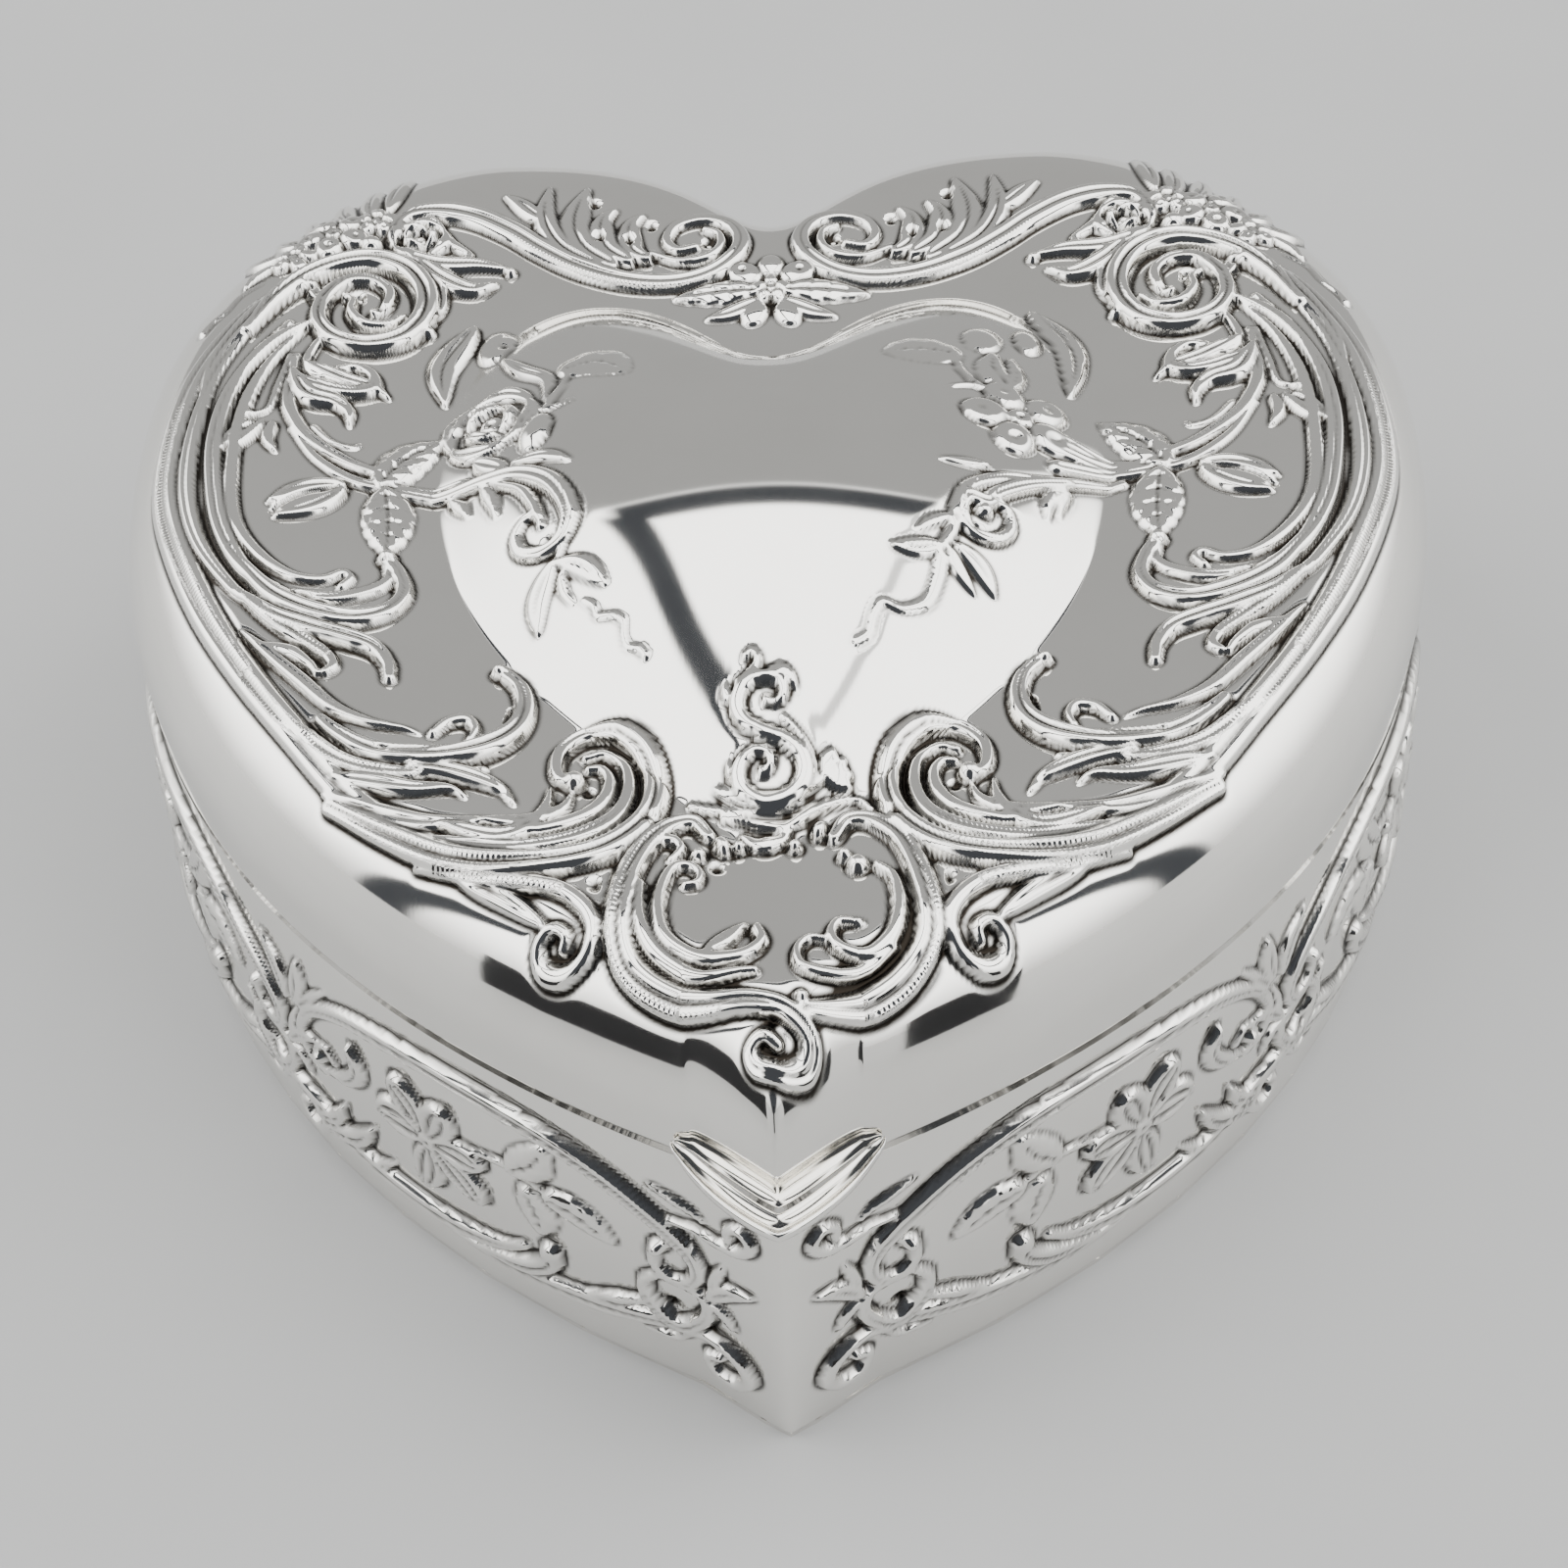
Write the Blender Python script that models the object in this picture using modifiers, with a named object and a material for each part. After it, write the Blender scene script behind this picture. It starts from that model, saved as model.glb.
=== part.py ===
"""Heart-shaped sheet-silver trinket box with a hinged lid.

The heart lies flat on Z = 0 with its tip towards -Y and its two lobes towards +Y.
The wall flares a little towards the base, a bezel stands up into the lid, and the lid turns
on two short hinges behind the lobes. Every piece is its own closed solid.
"""

import math

import bmesh
import bpy
from mathutils import Vector

MM = 0.001

# Driving dimensions, in millimetres; Y is counted from the tip of the lid's rim.
SEAM_HEIGHT = 41.3
LID_RIM_HEIGHT = 6.4
SHOULDER_RISE = 15.3
SHOULDER_REACH = 0.39        # share of the way from the rim to the cushion's crease
CREASE_DROP = 1.6            # how far the crease lies under the top of the shoulder
CUSHION_RISE = 13.2
SHEET = 0.8                  # thickness of the silver sheet
BASE_FLARE = 3.2             # how far the foot of the wall stands outside the lid's rim
WALL_TOP_STEP = 0.3          # how far the top of the wall lies inside the lid's rim
JOINT_GAP = 0.25             # solder or seating gap between neighbouring pieces
BEZEL_HEIGHT = 9.0
BEZEL_STAND = 2.4            # height of the bezel above the seam
LINING_THICKNESS = 1.4
PAD_THICKNESS = 3.4
LIFT_REACH = 3.4             # how far the thumb lift stands out beyond the tip
LIFT_HALF_SPAN = 10.6

KNUCKLE_RADIUS = 1.5
KNUCKLE_BORE = 0.75
PIN_RADIUS = 0.7
KNUCKLE_LENGTH = 5.2
KNUCKLE_GAP = 0.3
BEARING_HALF_SPAN = 8.2
BEARING_HEIGHT = 4.0

# The middle of the whole box, hinges and thumb lift included, along Y.
CENTRE_Y = 82.175

# A heart is half its outline, tip to cleft: x, y, heading in degrees, handle before, handle after.
RIM_HEART = [
    (0.0, 0.0, 0.0, 0.0, 1.1),
    (8.8, 6.4, 24.3, 1.1, 76.0),
    (81.0, 110.4, 90.0, 20.5, 36.0),
    (39.4, 163.2, 180.0, 13.5, 29.0),
    (0.0, 146.4, 180.0, 7.6, 0.0),
]
CREASE_HEART = [
    (0.0, 31.5, 0.0, 0.0, 4.0),
    (7.0, 35.0, 40.0, 4.0, 26.0),
    (40.5, 94.0, 90.0, 26.0, 16.0),
    (22.5, 122.5, 180.0, 10.0, 12.0),
    (0.0, 110.5, 180.0, 6.0, 0.0),
]
CUSHION_TOP = (0.0, 80.0)
CROWN_RADIUS = 38.0          # the cushion's sections turn from heart to circle, this wide at its foot
CROWN_SHARE = 0.7            # share of the way to the top at which they have done so
SPAN_STEPS = (3, 14, 10, 10)

SILVER = (0.82, 0.81, 0.79, 1.0)
SILVER_WORN = (0.74, 0.73, 0.71, 1.0)
FABRIC = (0.72, 0.62, 0.47, 1.0)

HINGE_X = RIM_HEART[3][0]
LOBE_BACK = RIM_HEART[3][1]
BEARING_BACK = LOBE_BACK + 1.9
HINGE_Y = BEARING_BACK + JOINT_GAP + KNUCKLE_RADIUS
HINGE_AXIS = Vector((0.0, (HINGE_Y - CENTRE_Y) * MM, SEAM_HEIGHT * MM))


def clear_scene():
    for old in list(bpy.data.objects):
        bpy.data.objects.remove(old, do_unlink=True)


def silver(name, colour=SILVER, roughness=0.15):
    material = bpy.data.materials.new(name)
    material.use_nodes = True
    shader = material.node_tree.nodes["Principled BSDF"]
    shader.inputs["Base Color"].default_value = colour
    shader.inputs["Roughness"].default_value = roughness
    shader.inputs["Metallic"].default_value = 1.0
    return material


def fabric(name, colour=FABRIC):
    material = bpy.data.materials.new(name)
    material.use_nodes = True
    shader = material.node_tree.nodes["Principled BSDF"]
    shader.inputs["Base Color"].default_value = colour
    shader.inputs["Roughness"].default_value = 0.9
    shader.inputs["Metallic"].default_value = 0.0
    return material


def grown(heart, reach):
    """The same heart with every knot moved outwards by reach."""
    moved = []
    for x, y, heading, before, after in heart:
        angle = math.radians(heading)
        moved.append((x + math.sin(angle) * reach, y - math.cos(angle) * reach, heading, before, after))
    return moved


def curve_point(start, end, t):
    x0, y0, heading0, _, handle0 = start
    x1, y1, heading1, handle1, _ = end
    a0 = math.radians(heading0)
    a1 = math.radians(heading1)
    corners = (
        (x0, y0),
        (x0 + math.cos(a0) * handle0, y0 + math.sin(a0) * handle0),
        (x1 - math.cos(a1) * handle1, y1 - math.sin(a1) * handle1),
        (x1, y1),
    )
    weights = ((1 - t) ** 3, 3 * (1 - t) ** 2 * t, 3 * (1 - t) * t ** 2, t ** 3)
    return (
        sum(w * c[0] for w, c in zip(weights, corners)),
        sum(w * c[1] for w, c in zip(weights, corners)),
    )


def heart_outline(heart):
    """The full outline as (x, y) pairs, anticlockwise from the tip."""
    half = []
    for start, end, steps in zip(heart[:-1], heart[1:], SPAN_STEPS):
        half += [curve_point(start, end, step / steps) for step in range(steps)]
    half.append(heart[-1][:2])
    mirrored = [(-x, y) for x, y in reversed(half[1:-1])]
    return half + mirrored


def blended(outer, inner, share):
    return [
        (a[0] + (b[0] - a[0]) * share, a[1] + (b[1] - a[1]) * share)
        for a, b in zip(outer, inner)
    ]


def placed(x, y, z):
    return Vector((x * MM, (y - CENTRE_Y) * MM, z * MM))


def section(outline, z):
    return [placed(x, y, z) for x, y in outline]


def finish(obj, material, collection, moving_with=None):
    obj.data.materials.append(material)
    collection.objects.link(obj)
    if moving_with is not None:
        obj.data.transform(moving_with.matrix_world.inverted())
        obj.parent = moving_with
    return obj


def loft(name, sections, capped=False):
    """A closed solid through its sections in turn.

    Its ends are capped, or the last section is joined back to the first. A section is a loop of
    points, or a single point where the surface closes to a peak.
    """
    mesh = bpy.data.meshes.new(name)
    bm = bmesh.new()
    loops = [[bm.verts.new(point) for point in points] for points in sections]
    pairs = list(zip(loops[:-1], loops[1:]))
    if capped:
        bm.faces.new(loops[0])
        bm.faces.new(loops[-1])
    else:
        pairs.append((loops[-1], loops[0]))
    for lower, upper in pairs:
        count = max(len(lower), len(upper))
        if count == 1:
            continue
        for i in range(count):
            j = (i + 1) % count
            if len(upper) == 1:
                bm.faces.new((lower[i], lower[j], upper[0]))
            elif len(lower) == 1:
                bm.faces.new((lower[0], upper[j], upper[i]))
            else:
                bm.faces.new((lower[i], lower[j], upper[j], upper[i]))
    bmesh.ops.recalc_face_normals(bm, faces=bm.faces)
    bm.to_mesh(mesh)
    bm.free()
    return bpy.data.objects.new(name, mesh)


def flat_piece(name, outline, bottom, top, material, collection, moving_with=None):
    """A flat outline with a thickness, upright between two heights."""
    curve = bpy.data.curves.new(name, "CURVE")
    curve.dimensions = "2D"
    curve.fill_mode = "BOTH"
    curve.extrude = (top - bottom) / 2 * MM
    spline = curve.splines.new("POLY")
    spline.points.add(len(outline) - 1)
    for point, (x, y) in zip(spline.points, outline):
        point.co = (x * MM, (y - CENTRE_Y) * MM, 0.0, 1.0)
    spline.use_cyclic_u = True
    obj = bpy.data.objects.new(name, curve)
    obj.location.z = (top + bottom) / 2 * MM
    finish(obj, material, collection)
    if moving_with is not None:
        obj.parent = moving_with
        obj.matrix_parent_inverse = moving_with.matrix_world.inverted()
    return obj


def wall_reach(z):
    """How far the outside of the wall stands beyond the lid's rim at height z."""
    fall = 1 - z / SEAM_HEIGHT
    return -WALL_TOP_STEP + (BASE_FLARE + WALL_TOP_STEP) * fall + 0.9 * math.sin(math.pi * fall)


def body_wall(collection):
    bottom = SHEET + JOINT_GAP
    top = SEAM_HEIGHT - JOINT_GAP
    heights = [bottom + (top - bottom) * i / 5 for i in range(6)]
    outside = [section(heart_outline(grown(RIM_HEART, wall_reach(z))), z) for z in heights]
    inside = [section(heart_outline(grown(RIM_HEART, wall_reach(z) - SHEET)), z) for z in reversed(heights)]
    finish(loft("body_wall", outside + inside), silver("wall_silver"), collection)


def base_plate(collection):
    outline = heart_outline(grown(RIM_HEART, BASE_FLARE))
    flat_piece("base_plate", outline, 0.0, SHEET, silver("base_silver", SILVER_WORN, 0.25), collection)


def body_bezel(collection):
    outside = heart_outline(grown(RIM_HEART, -WALL_TOP_STEP - SHEET - JOINT_GAP))
    inside = heart_outline(grown(RIM_HEART, -WALL_TOP_STEP - 2 * SHEET - JOINT_GAP))
    top = SEAM_HEIGHT + BEZEL_STAND
    bottom = top - BEZEL_HEIGHT
    sections = [section(outside, bottom), section(outside, top), section(inside, top), section(inside, bottom)]
    finish(loft("body_bezel", sections), silver("bezel_silver", SILVER, 0.2), collection)


def lining_reach(z):
    under_bezel = -WALL_TOP_STEP - 2 * SHEET - 2 * JOINT_GAP - 0.2
    return min(wall_reach(z) - SHEET - JOINT_GAP - 0.2, under_bezel)


def wall_lining(collection):
    bottom = SHEET + JOINT_GAP + PAD_THICKNESS + JOINT_GAP
    top = SEAM_HEIGHT - 1.5
    heights = [bottom + (top - bottom) * i / 4 for i in range(5)]
    outside = [section(heart_outline(grown(RIM_HEART, lining_reach(z))), z) for z in heights]
    inside = [
        section(heart_outline(grown(RIM_HEART, lining_reach(z) - LINING_THICKNESS)), z)
        for z in reversed(heights)
    ]
    finish(loft("wall_lining", outside + inside), fabric("lining_fabric"), collection)


def floor_pad(collection):
    bottom = SHEET + JOINT_GAP
    reach = BASE_FLARE - SHEET - 0.8
    outline = heart_outline(grown(RIM_HEART, reach))
    flat_piece("floor_pad", outline, bottom, bottom + PAD_THICKNESS, fabric("pad_fabric"), collection)


def lid_sections(inset, step):
    """The lid's surface from rim to cushion top, drawn in by inset and lowered by step."""
    rim = heart_outline(grown(RIM_HEART, -inset))
    crease = heart_outline(grown(CREASE_HEART, -inset / 2))
    rim_top = SEAM_HEIGHT + LID_RIM_HEIGHT
    ridge = rim_top + SHOULDER_RISE
    sections = [section(rim, rim_top)]
    for angle in (18, 36, 54, 72, 90):
        share = SHOULDER_REACH * (1 - math.cos(math.radians(angle)))
        height = rim_top + SHOULDER_RISE * math.sin(math.radians(angle)) - step * angle / 90
        sections.append(section(blended(rim, crease, share), height))
    crease_height = ridge - CREASE_DROP - step
    sections.append(section(blended(rim, crease, 0.7), ridge - CREASE_DROP * 0.4 - step))
    sections.append(section(crease, crease_height))
    for share in (0.08, 0.2, 0.35, 0.55, 0.78):
        sections.append(cushion_section(crease, share, crease_height))
    sections.append([placed(*CUSHION_TOP, crease_height + CUSHION_RISE)])
    return sections


def cushion_section(crease, share, foot):
    """One section of the puffed heart, a share of the way from its crease to its top."""
    top_x, top_y = CUSHION_TOP
    way = min(1.0, share / CROWN_SHARE)
    roundness = way * way * (3 - 2 * way)
    height = foot + CUSHION_RISE * (1 - (1 - share) ** 2)
    points = []
    for x, y in crease:
        direction = math.atan2(y - top_y, x - top_x)
        across = (x - top_x) * (1 - roundness) + CROWN_RADIUS * math.cos(direction) * roundness
        back = (y - top_y) * (1 - roundness) + CROWN_RADIUS * math.sin(direction) * roundness
        points.append(placed(top_x + across * (1 - share), top_y + back * (1 - share), height))
    return points


def lid_shell(collection, hinge):
    outside = lid_sections(0.0, 0.0)
    inside = lid_sections(SHEET, SHEET)
    outside.insert(0, section(heart_outline(RIM_HEART), SEAM_HEIGHT))
    inside.insert(0, section(heart_outline(grown(RIM_HEART, -SHEET)), SEAM_HEIGHT))
    solid = loft("lid_shell", outside + inside[::-1])
    finish(solid, silver("lid_silver", SILVER, 0.1), collection, hinge)


def lid_lining(collection, hinge):
    clear = SHEET + 0.6
    deep = clear + LINING_THICKNESS
    solid = loft("lid_lining", lid_sections(clear, clear) + lid_sections(deep, deep)[::-1])
    finish(solid, fabric("lid_fabric"), collection, hinge)


def rim_y(rim, x):
    """Where the rim lies at a distance x from the centre line, near the tip."""
    for (x0, y0), (x1, y1) in zip(rim[:-1], rim[1:]):
        if x0 <= x <= x1:
            return y0 + (y1 - y0) * (x - x0) / (x1 - x0)
    return rim[0][1]


def thumb_lift(collection, hinge):
    """A crescent lip round the tip: it starts on the rim, runs out and turns up."""
    stations = 13
    rim = heart_outline(grown(RIM_HEART, JOINT_GAP))
    solid_sections = []
    for i in range(stations):
        along = -1 + 2 * i / (stations - 1)
        x = LIFT_HALF_SPAN * along
        y = rim_y(rim, abs(x))
        reach = LIFT_REACH * (1 - along ** 2) ** 0.75 + 0.35
        z = SEAM_HEIGHT
        profile = ((0.0, 0.1), (-reach * 0.75, 0.1), (-reach, 0.7), (-reach, 1.7), (-reach + 0.7, 1.7), (0.0, 0.9))
        solid_sections.append([placed(x, y + out, z + up) for out, up in profile])
    solid = loft("thumb_lift", solid_sections, capped=True)
    finish(solid, silver("lift_silver", SILVER, 0.1), collection, hinge)


def place_on_axis(obj, centre_x, moving_with):
    if moving_with is None:
        obj.location = HINGE_AXIS + Vector((centre_x * MM, 0.0, 0.0))
    else:
        obj.parent = moving_with
        obj.location = (centre_x * MM, 0.0, 0.0)


def knuckle(name, centre_x, collection, moving_with=None):
    """A hinge tube on the hinge line, as a profile turned about X."""
    profile = bpy.data.meshes.new(name)
    bm = bmesh.new()
    half = KNUCKLE_LENGTH / 2
    corners = ((half, KNUCKLE_BORE), (half, KNUCKLE_RADIUS), (-half, KNUCKLE_RADIUS), (-half, KNUCKLE_BORE))
    verts = [bm.verts.new((x * MM, 0.0, r * MM)) for x, r in corners]
    for a, b in zip(verts, verts[1:] + verts[:1]):
        bm.edges.new((a, b))
    bm.to_mesh(profile)
    bm.free()
    obj = bpy.data.objects.new(name, profile)
    turn = obj.modifiers.new("turn", "SCREW")
    turn.axis = "X"
    turn.steps = 16
    turn.render_steps = 16
    turn.use_merge_vertices = True
    turn.merge_threshold = 0.00001
    turn.use_smooth_shade = True
    obj.data.materials.append(silver(name + "_silver", SILVER_WORN, 0.2))
    collection.objects.link(obj)
    place_on_axis(obj, centre_x, moving_with)


def hinge_pin(name, centre_x, collection):
    length = 3 * KNUCKLE_LENGTH + 2 * KNUCKLE_GAP + 0.6
    bpy.ops.mesh.primitive_cylinder_add(vertices=16, radius=PIN_RADIUS * MM, depth=length * MM)
    pin = bpy.context.object
    pin.name = name
    pin.data.name = name
    pin.rotation_euler = (0.0, math.radians(90.0), 0.0)
    for other in list(pin.users_collection):
        other.objects.unlink(pin)
    pin.data.materials.append(silver(name + "_silver", SILVER_WORN, 0.25))
    collection.objects.link(pin)
    place_on_axis(pin, centre_x, None)


def lobe_y(rim, x):
    """Where the outline lies at x, on its back edge."""
    found = [
        y0 + (y1 - y0) * (x - x0) / (x1 - x0)
        for (x0, y0), (x1, y1) in zip(rim[:-1], rim[1:])
        if min(x0, x1) <= x <= max(x0, x1) and x0 != x1
    ]
    return max(found)


def bearing(name, side, heart, bottom, top, collection, moving_with=None):
    """A block behind one lobe: curved to the sheet in front, flat behind for the knuckles."""
    steps = 8
    front = []
    rim = [(side * x, y) for x, y in heart_outline(heart)[:sum(SPAN_STEPS) + 1]]
    for i in range(steps + 1):
        x = HINGE_X - BEARING_HALF_SPAN + 2 * BEARING_HALF_SPAN * i / steps
        front.append((side * x, lobe_y(rim, side * x)))
    outline = front + [(front[-1][0], BEARING_BACK), (front[0][0], BEARING_BACK)]
    outline = outline if side < 0 else outline[::-1]
    material = silver(name + "_silver", SILVER_WORN, 0.2)
    flat_piece(name, outline, bottom, top, material, collection, moving_with)


def hinge(side_name, side, collection, lid_axis):
    pitch = KNUCKLE_LENGTH + KNUCKLE_GAP
    centre = side * HINGE_X
    wall_side = grown(RIM_HEART, wall_reach(SEAM_HEIGHT - BEARING_HEIGHT) + JOINT_GAP)
    lid_side = grown(RIM_HEART, JOINT_GAP)
    low = SEAM_HEIGHT - BEARING_HEIGHT
    high = SEAM_HEIGHT + BEARING_HEIGHT
    bearing(side_name + "_body_bearing", side, wall_side, low, SEAM_HEIGHT - 0.3, collection)
    bearing(side_name + "_lid_bearing", side, lid_side, SEAM_HEIGHT + 0.3, high, collection, lid_axis)
    knuckle(side_name + "_outer_knuckle", centre + side * pitch, collection)
    knuckle(side_name + "_inner_knuckle", centre - side * pitch, collection)
    knuckle(side_name + "_lid_knuckle", centre, collection, lid_axis)
    hinge_pin(side_name + "_hinge_pin", centre, collection)


def main():
    clear_scene()
    collection = bpy.data.collections.new("heart_trinket_box")
    bpy.context.scene.collection.children.link(collection)
    lid_axis = bpy.data.objects.new("lid_axis", None)
    lid_axis.location = HINGE_AXIS
    collection.objects.link(lid_axis)
    bpy.context.view_layer.update()

    body_wall(collection)
    base_plate(collection)
    body_bezel(collection)
    floor_pad(collection)
    wall_lining(collection)
    lid_shell(collection, lid_axis)
    lid_lining(collection, lid_axis)
    thumb_lift(collection, lid_axis)
    hinge("left", -1, collection, lid_axis)
    hinge("right", 1, collection, lid_axis)


main()
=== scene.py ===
"""Finish and fine relief of the heart-shaped silver trinket box.

The lid and the wall are rebuilt as dense shells on the same hearts as the solids, and their
chased ornament is a height map in millimetres that lifts each shell along its normals. Plan
positions are millimetres from the tip of the lid's rim, +X to the right and +Y to the cleft.
"""

import math

import bpy
import numpy as np
from mathutils import Matrix, Vector


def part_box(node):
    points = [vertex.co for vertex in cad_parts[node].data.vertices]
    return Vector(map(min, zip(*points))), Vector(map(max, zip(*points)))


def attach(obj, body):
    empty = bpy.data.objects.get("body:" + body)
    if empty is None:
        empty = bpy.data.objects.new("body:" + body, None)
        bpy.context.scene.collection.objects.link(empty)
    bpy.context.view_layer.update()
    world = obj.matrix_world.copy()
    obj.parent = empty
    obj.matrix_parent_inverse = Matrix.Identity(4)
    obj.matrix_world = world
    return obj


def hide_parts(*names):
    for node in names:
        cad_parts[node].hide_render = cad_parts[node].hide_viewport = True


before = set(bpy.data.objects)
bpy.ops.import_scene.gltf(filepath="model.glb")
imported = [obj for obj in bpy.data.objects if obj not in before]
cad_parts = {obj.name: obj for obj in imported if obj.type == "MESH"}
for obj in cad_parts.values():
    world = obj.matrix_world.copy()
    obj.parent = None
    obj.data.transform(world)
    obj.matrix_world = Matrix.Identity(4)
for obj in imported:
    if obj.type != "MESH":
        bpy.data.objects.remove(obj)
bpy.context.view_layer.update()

MM = 0.001
LID_LOW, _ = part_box("lid_shell")
_, BASE_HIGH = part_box("base_plate")
TIP_Y = LID_LOW.y / MM
SEAM_HEIGHT = LID_LOW.z / MM
BASE_TOP = BASE_HIGH.z / MM

# The lid, in millimetres.
LID_RIM_HEIGHT = 6.4
SHOULDER_RISE = 15.3
SHOULDER_REACH = 0.39        # share of the way from the rim to the cushion's crease
CREASE_DROP = 1.6
CUSHION_RISE = 13.2
CREASE_FILLET = 0.6
SHEET = 0.8                  # thickness of the silver
RIM_HEART = [                # x, y, heading in degrees, handle before, handle after
    (0.0, 0.0, 0.0, 0.0, 1.1),
    (8.8, 6.4, 24.3, 1.1, 76.0),
    (81.0, 110.4, 90.0, 20.5, 36.0),
    (39.4, 163.2, 180.0, 13.5, 29.0),
    (0.0, 146.4, 180.0, 7.6, 0.0),
]
CREASE_HEART = [
    (0.0, 31.5, 0.0, 0.0, 4.0),
    (7.0, 35.0, 40.0, 4.0, 26.0),
    (40.5, 94.0, 90.0, 26.0, 16.0),
    (22.5, 122.5, 180.0, 10.0, 12.0),
    (0.0, 110.5, 180.0, 6.0, 0.0),
]
CUSHION_TOP = np.array((0.0, 80.0))
CROWN_RADIUS = 38.0
CROWN_SHARE = 0.7

# The wall, in millimetres.
BASE_FLARE = 3.2
WALL_TOP_STEP = 0.3
WALL_BULGE = 0.9
JOINT_GAP = 0.25

# The thumb lift, in millimetres: its section as (share of the reach outwards, height).
LIFT_REACH = 3.4
LIFT_HALF_SPAN = 12.8
LIFT_HORN_RISE = 2.4
LIFT_STATIONS = 97
LIFT_SECTION = (
    (0.02, 0.1), (0.35, 0.02), (0.72, 0.1), (0.98, 0.6), (1.06, 1.3), (1.04, 2.0),
    (0.93, 2.2), (0.84, 1.8), (0.74, 0.85), (0.5, 0.42), (0.2, 0.4), (0.02, 0.6),
)

# The linings, in millimetres.
LINING = 1.4
UNDER_BEZEL = -2.6           # the wall's lining stays inside the bezel
PAD_REACH = 1.4
PAD_SIDE = 2.6
PAD_CROWN = 0.9
PAD_MIDDLE = np.array((0.0, 85.0))
FOLDS = 86
FOLD_DEPTH = 0.3

SPAN_STEPS = (48, 440, 264, 156)     # columns of the shells along the spans of half a heart
LID_RINGS = (100, 92, 110)           # rings of the shoulder, the cove and the cushion
RIM_RINGS = 5
THINNED_RINGS = 66                   # rings near the cushion's top that get half the columns
WALL_RINGS = 110

# The relief, in millimetres.
RELIEF_CELL = 0.15
SOFTENING = 0.13
GROUND_BLUR = 0.5            # how wide the ground sinks beside the work
CREVICE_BLUR = 0.4
CREVICE_START = 0.025
CREVICE_RANGE = 0.12
CHASE_PITCH = 0.55
LEAF_VEINS = 0.22            # share of a toothed leaf's height that its side veins cut away


# ---------------------------------------------------------------- hearts and shells

def grown(heart, reach):
    """The same heart with every knot moved outwards by reach."""
    moved = []
    for x, y, heading, before, after in heart:
        angle = math.radians(heading)
        moved.append((x + math.sin(angle) * reach, y - math.cos(angle) * reach, heading, before, after))
    return moved


def heart_outline(heart, steps=SPAN_STEPS):
    """The full outline as an array of points, anticlockwise from the tip."""
    half = []
    for (x0, y0, head0, _, out0), (x1, y1, head1, into1, _), count in zip(heart, heart[1:], steps):
        a0, a1 = math.radians(head0), math.radians(head1)
        t = np.linspace(0, 1, count, endpoint=False)[:, None]
        p0 = np.array((x0, y0))
        p1 = p0 + out0 * np.array((math.cos(a0), math.sin(a0)))
        p3 = np.array((x1, y1))
        p2 = p3 - into1 * np.array((math.cos(a1), math.sin(a1)))
        half.append((1 - t) ** 3 * p0 + 3 * (1 - t) ** 2 * t * p1 + 3 * (1 - t) * t ** 2 * p2 + t ** 3 * p3)
    half = np.vstack(half + [np.array([heart[-1][:2]])])
    return np.vstack([half, half[-2:0:-1] * (-1, 1)])


def arc_lengths(outline):
    """Distance of each point of a full outline from the tip, along the nearer side."""
    count = len(outline) // 2 + 1
    steps = np.linalg.norm(np.diff(outline[:count], axis=0), axis=1)
    half = np.concatenate([[0], np.cumsum(steps)])
    return np.concatenate([half, half[-2:0:-1]])


def at_height(outline, z):
    return np.column_stack([outline, np.full(len(outline), z)])


def lid_rings(rim, crease, lower, counts):
    """The lid's rings from the rim's top edge to just short of the cushion's top.

    counts is how many rings the shoulder, the cove and the cushion get; lower is how far the
    whole surface is stepped down, for an inner face.
    """
    shoulder, cove, cushion = counts
    rim_top = SEAM_HEIGHT + LID_RIM_HEIGHT
    ridge = rim_top + SHOULDER_RISE
    rings = []
    for turn in np.linspace(0, math.pi / 2, shoulder):
        share = SHOULDER_REACH * (1 - math.cos(turn))
        height = rim_top + SHOULDER_RISE * math.sin(turn) - lower * math.sin(turn)
        rings.append(at_height(rim + (crease - rim) * share, height))
    for way in np.linspace(0, 1, cove)[1:]:
        share = SHOULDER_REACH + (1 - SHOULDER_REACH) * way
        height = ridge - CREASE_DROP * (0.5 - 0.5 * math.cos(math.pi * way)) - lower
        rings.append(at_height(rim + (crease - rim) * share, height))
    for share in np.linspace(0, 0.985, cushion)[1:]:
        rings.append(cushion_ring(crease, share, ridge - CREASE_DROP - lower))
    return rings


def cushion_ring(crease, share, foot):
    """One ring of the puffed heart, a share of the way from its crease to its top.

    The rings turn from heart to circle on their way up, and a fillet softens the crease.
    """
    from_top = crease - CUSHION_TOP
    circle = CROWN_RADIUS * from_top / np.linalg.norm(from_top, axis=1, keepdims=True)
    way = min(1.0, share / CROWN_SHARE)
    roundness = way * way * (3 - 2 * way)
    points = CUSHION_TOP + (from_top * (1 - roundness) + circle * roundness) * (1 - share)
    rise = CUSHION_RISE * (1 - (1 - share) ** 2)
    return at_height(points, foot + math.hypot(rise, CREASE_FILLET) - CREASE_FILLET)


def wall_reach(z):
    """How far the outside of the wall stands beyond the lid's rim at height z."""
    fall = 1 - z / SEAM_HEIGHT
    return -WALL_TOP_STEP + (BASE_FLARE + WALL_TOP_STEP) * fall + WALL_BULGE * math.sin(math.pi * fall)


def ring_normals(rings):
    """Outward unit normals of rings of equal size, which run anticlockwise and upwards."""
    grid = np.array(rings)
    along = np.roll(grid, -1, axis=1) - np.roll(grid, 1, axis=1)
    up = np.gradient(grid, axis=0)
    normals = np.cross(along, up)
    return normals / np.linalg.norm(normals, axis=2, keepdims=True)


def placed(points):
    """Plan millimetres to the frame's metres."""
    return (np.asarray(points) + (0.0, TIP_Y, 0.0)) * MM


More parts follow.
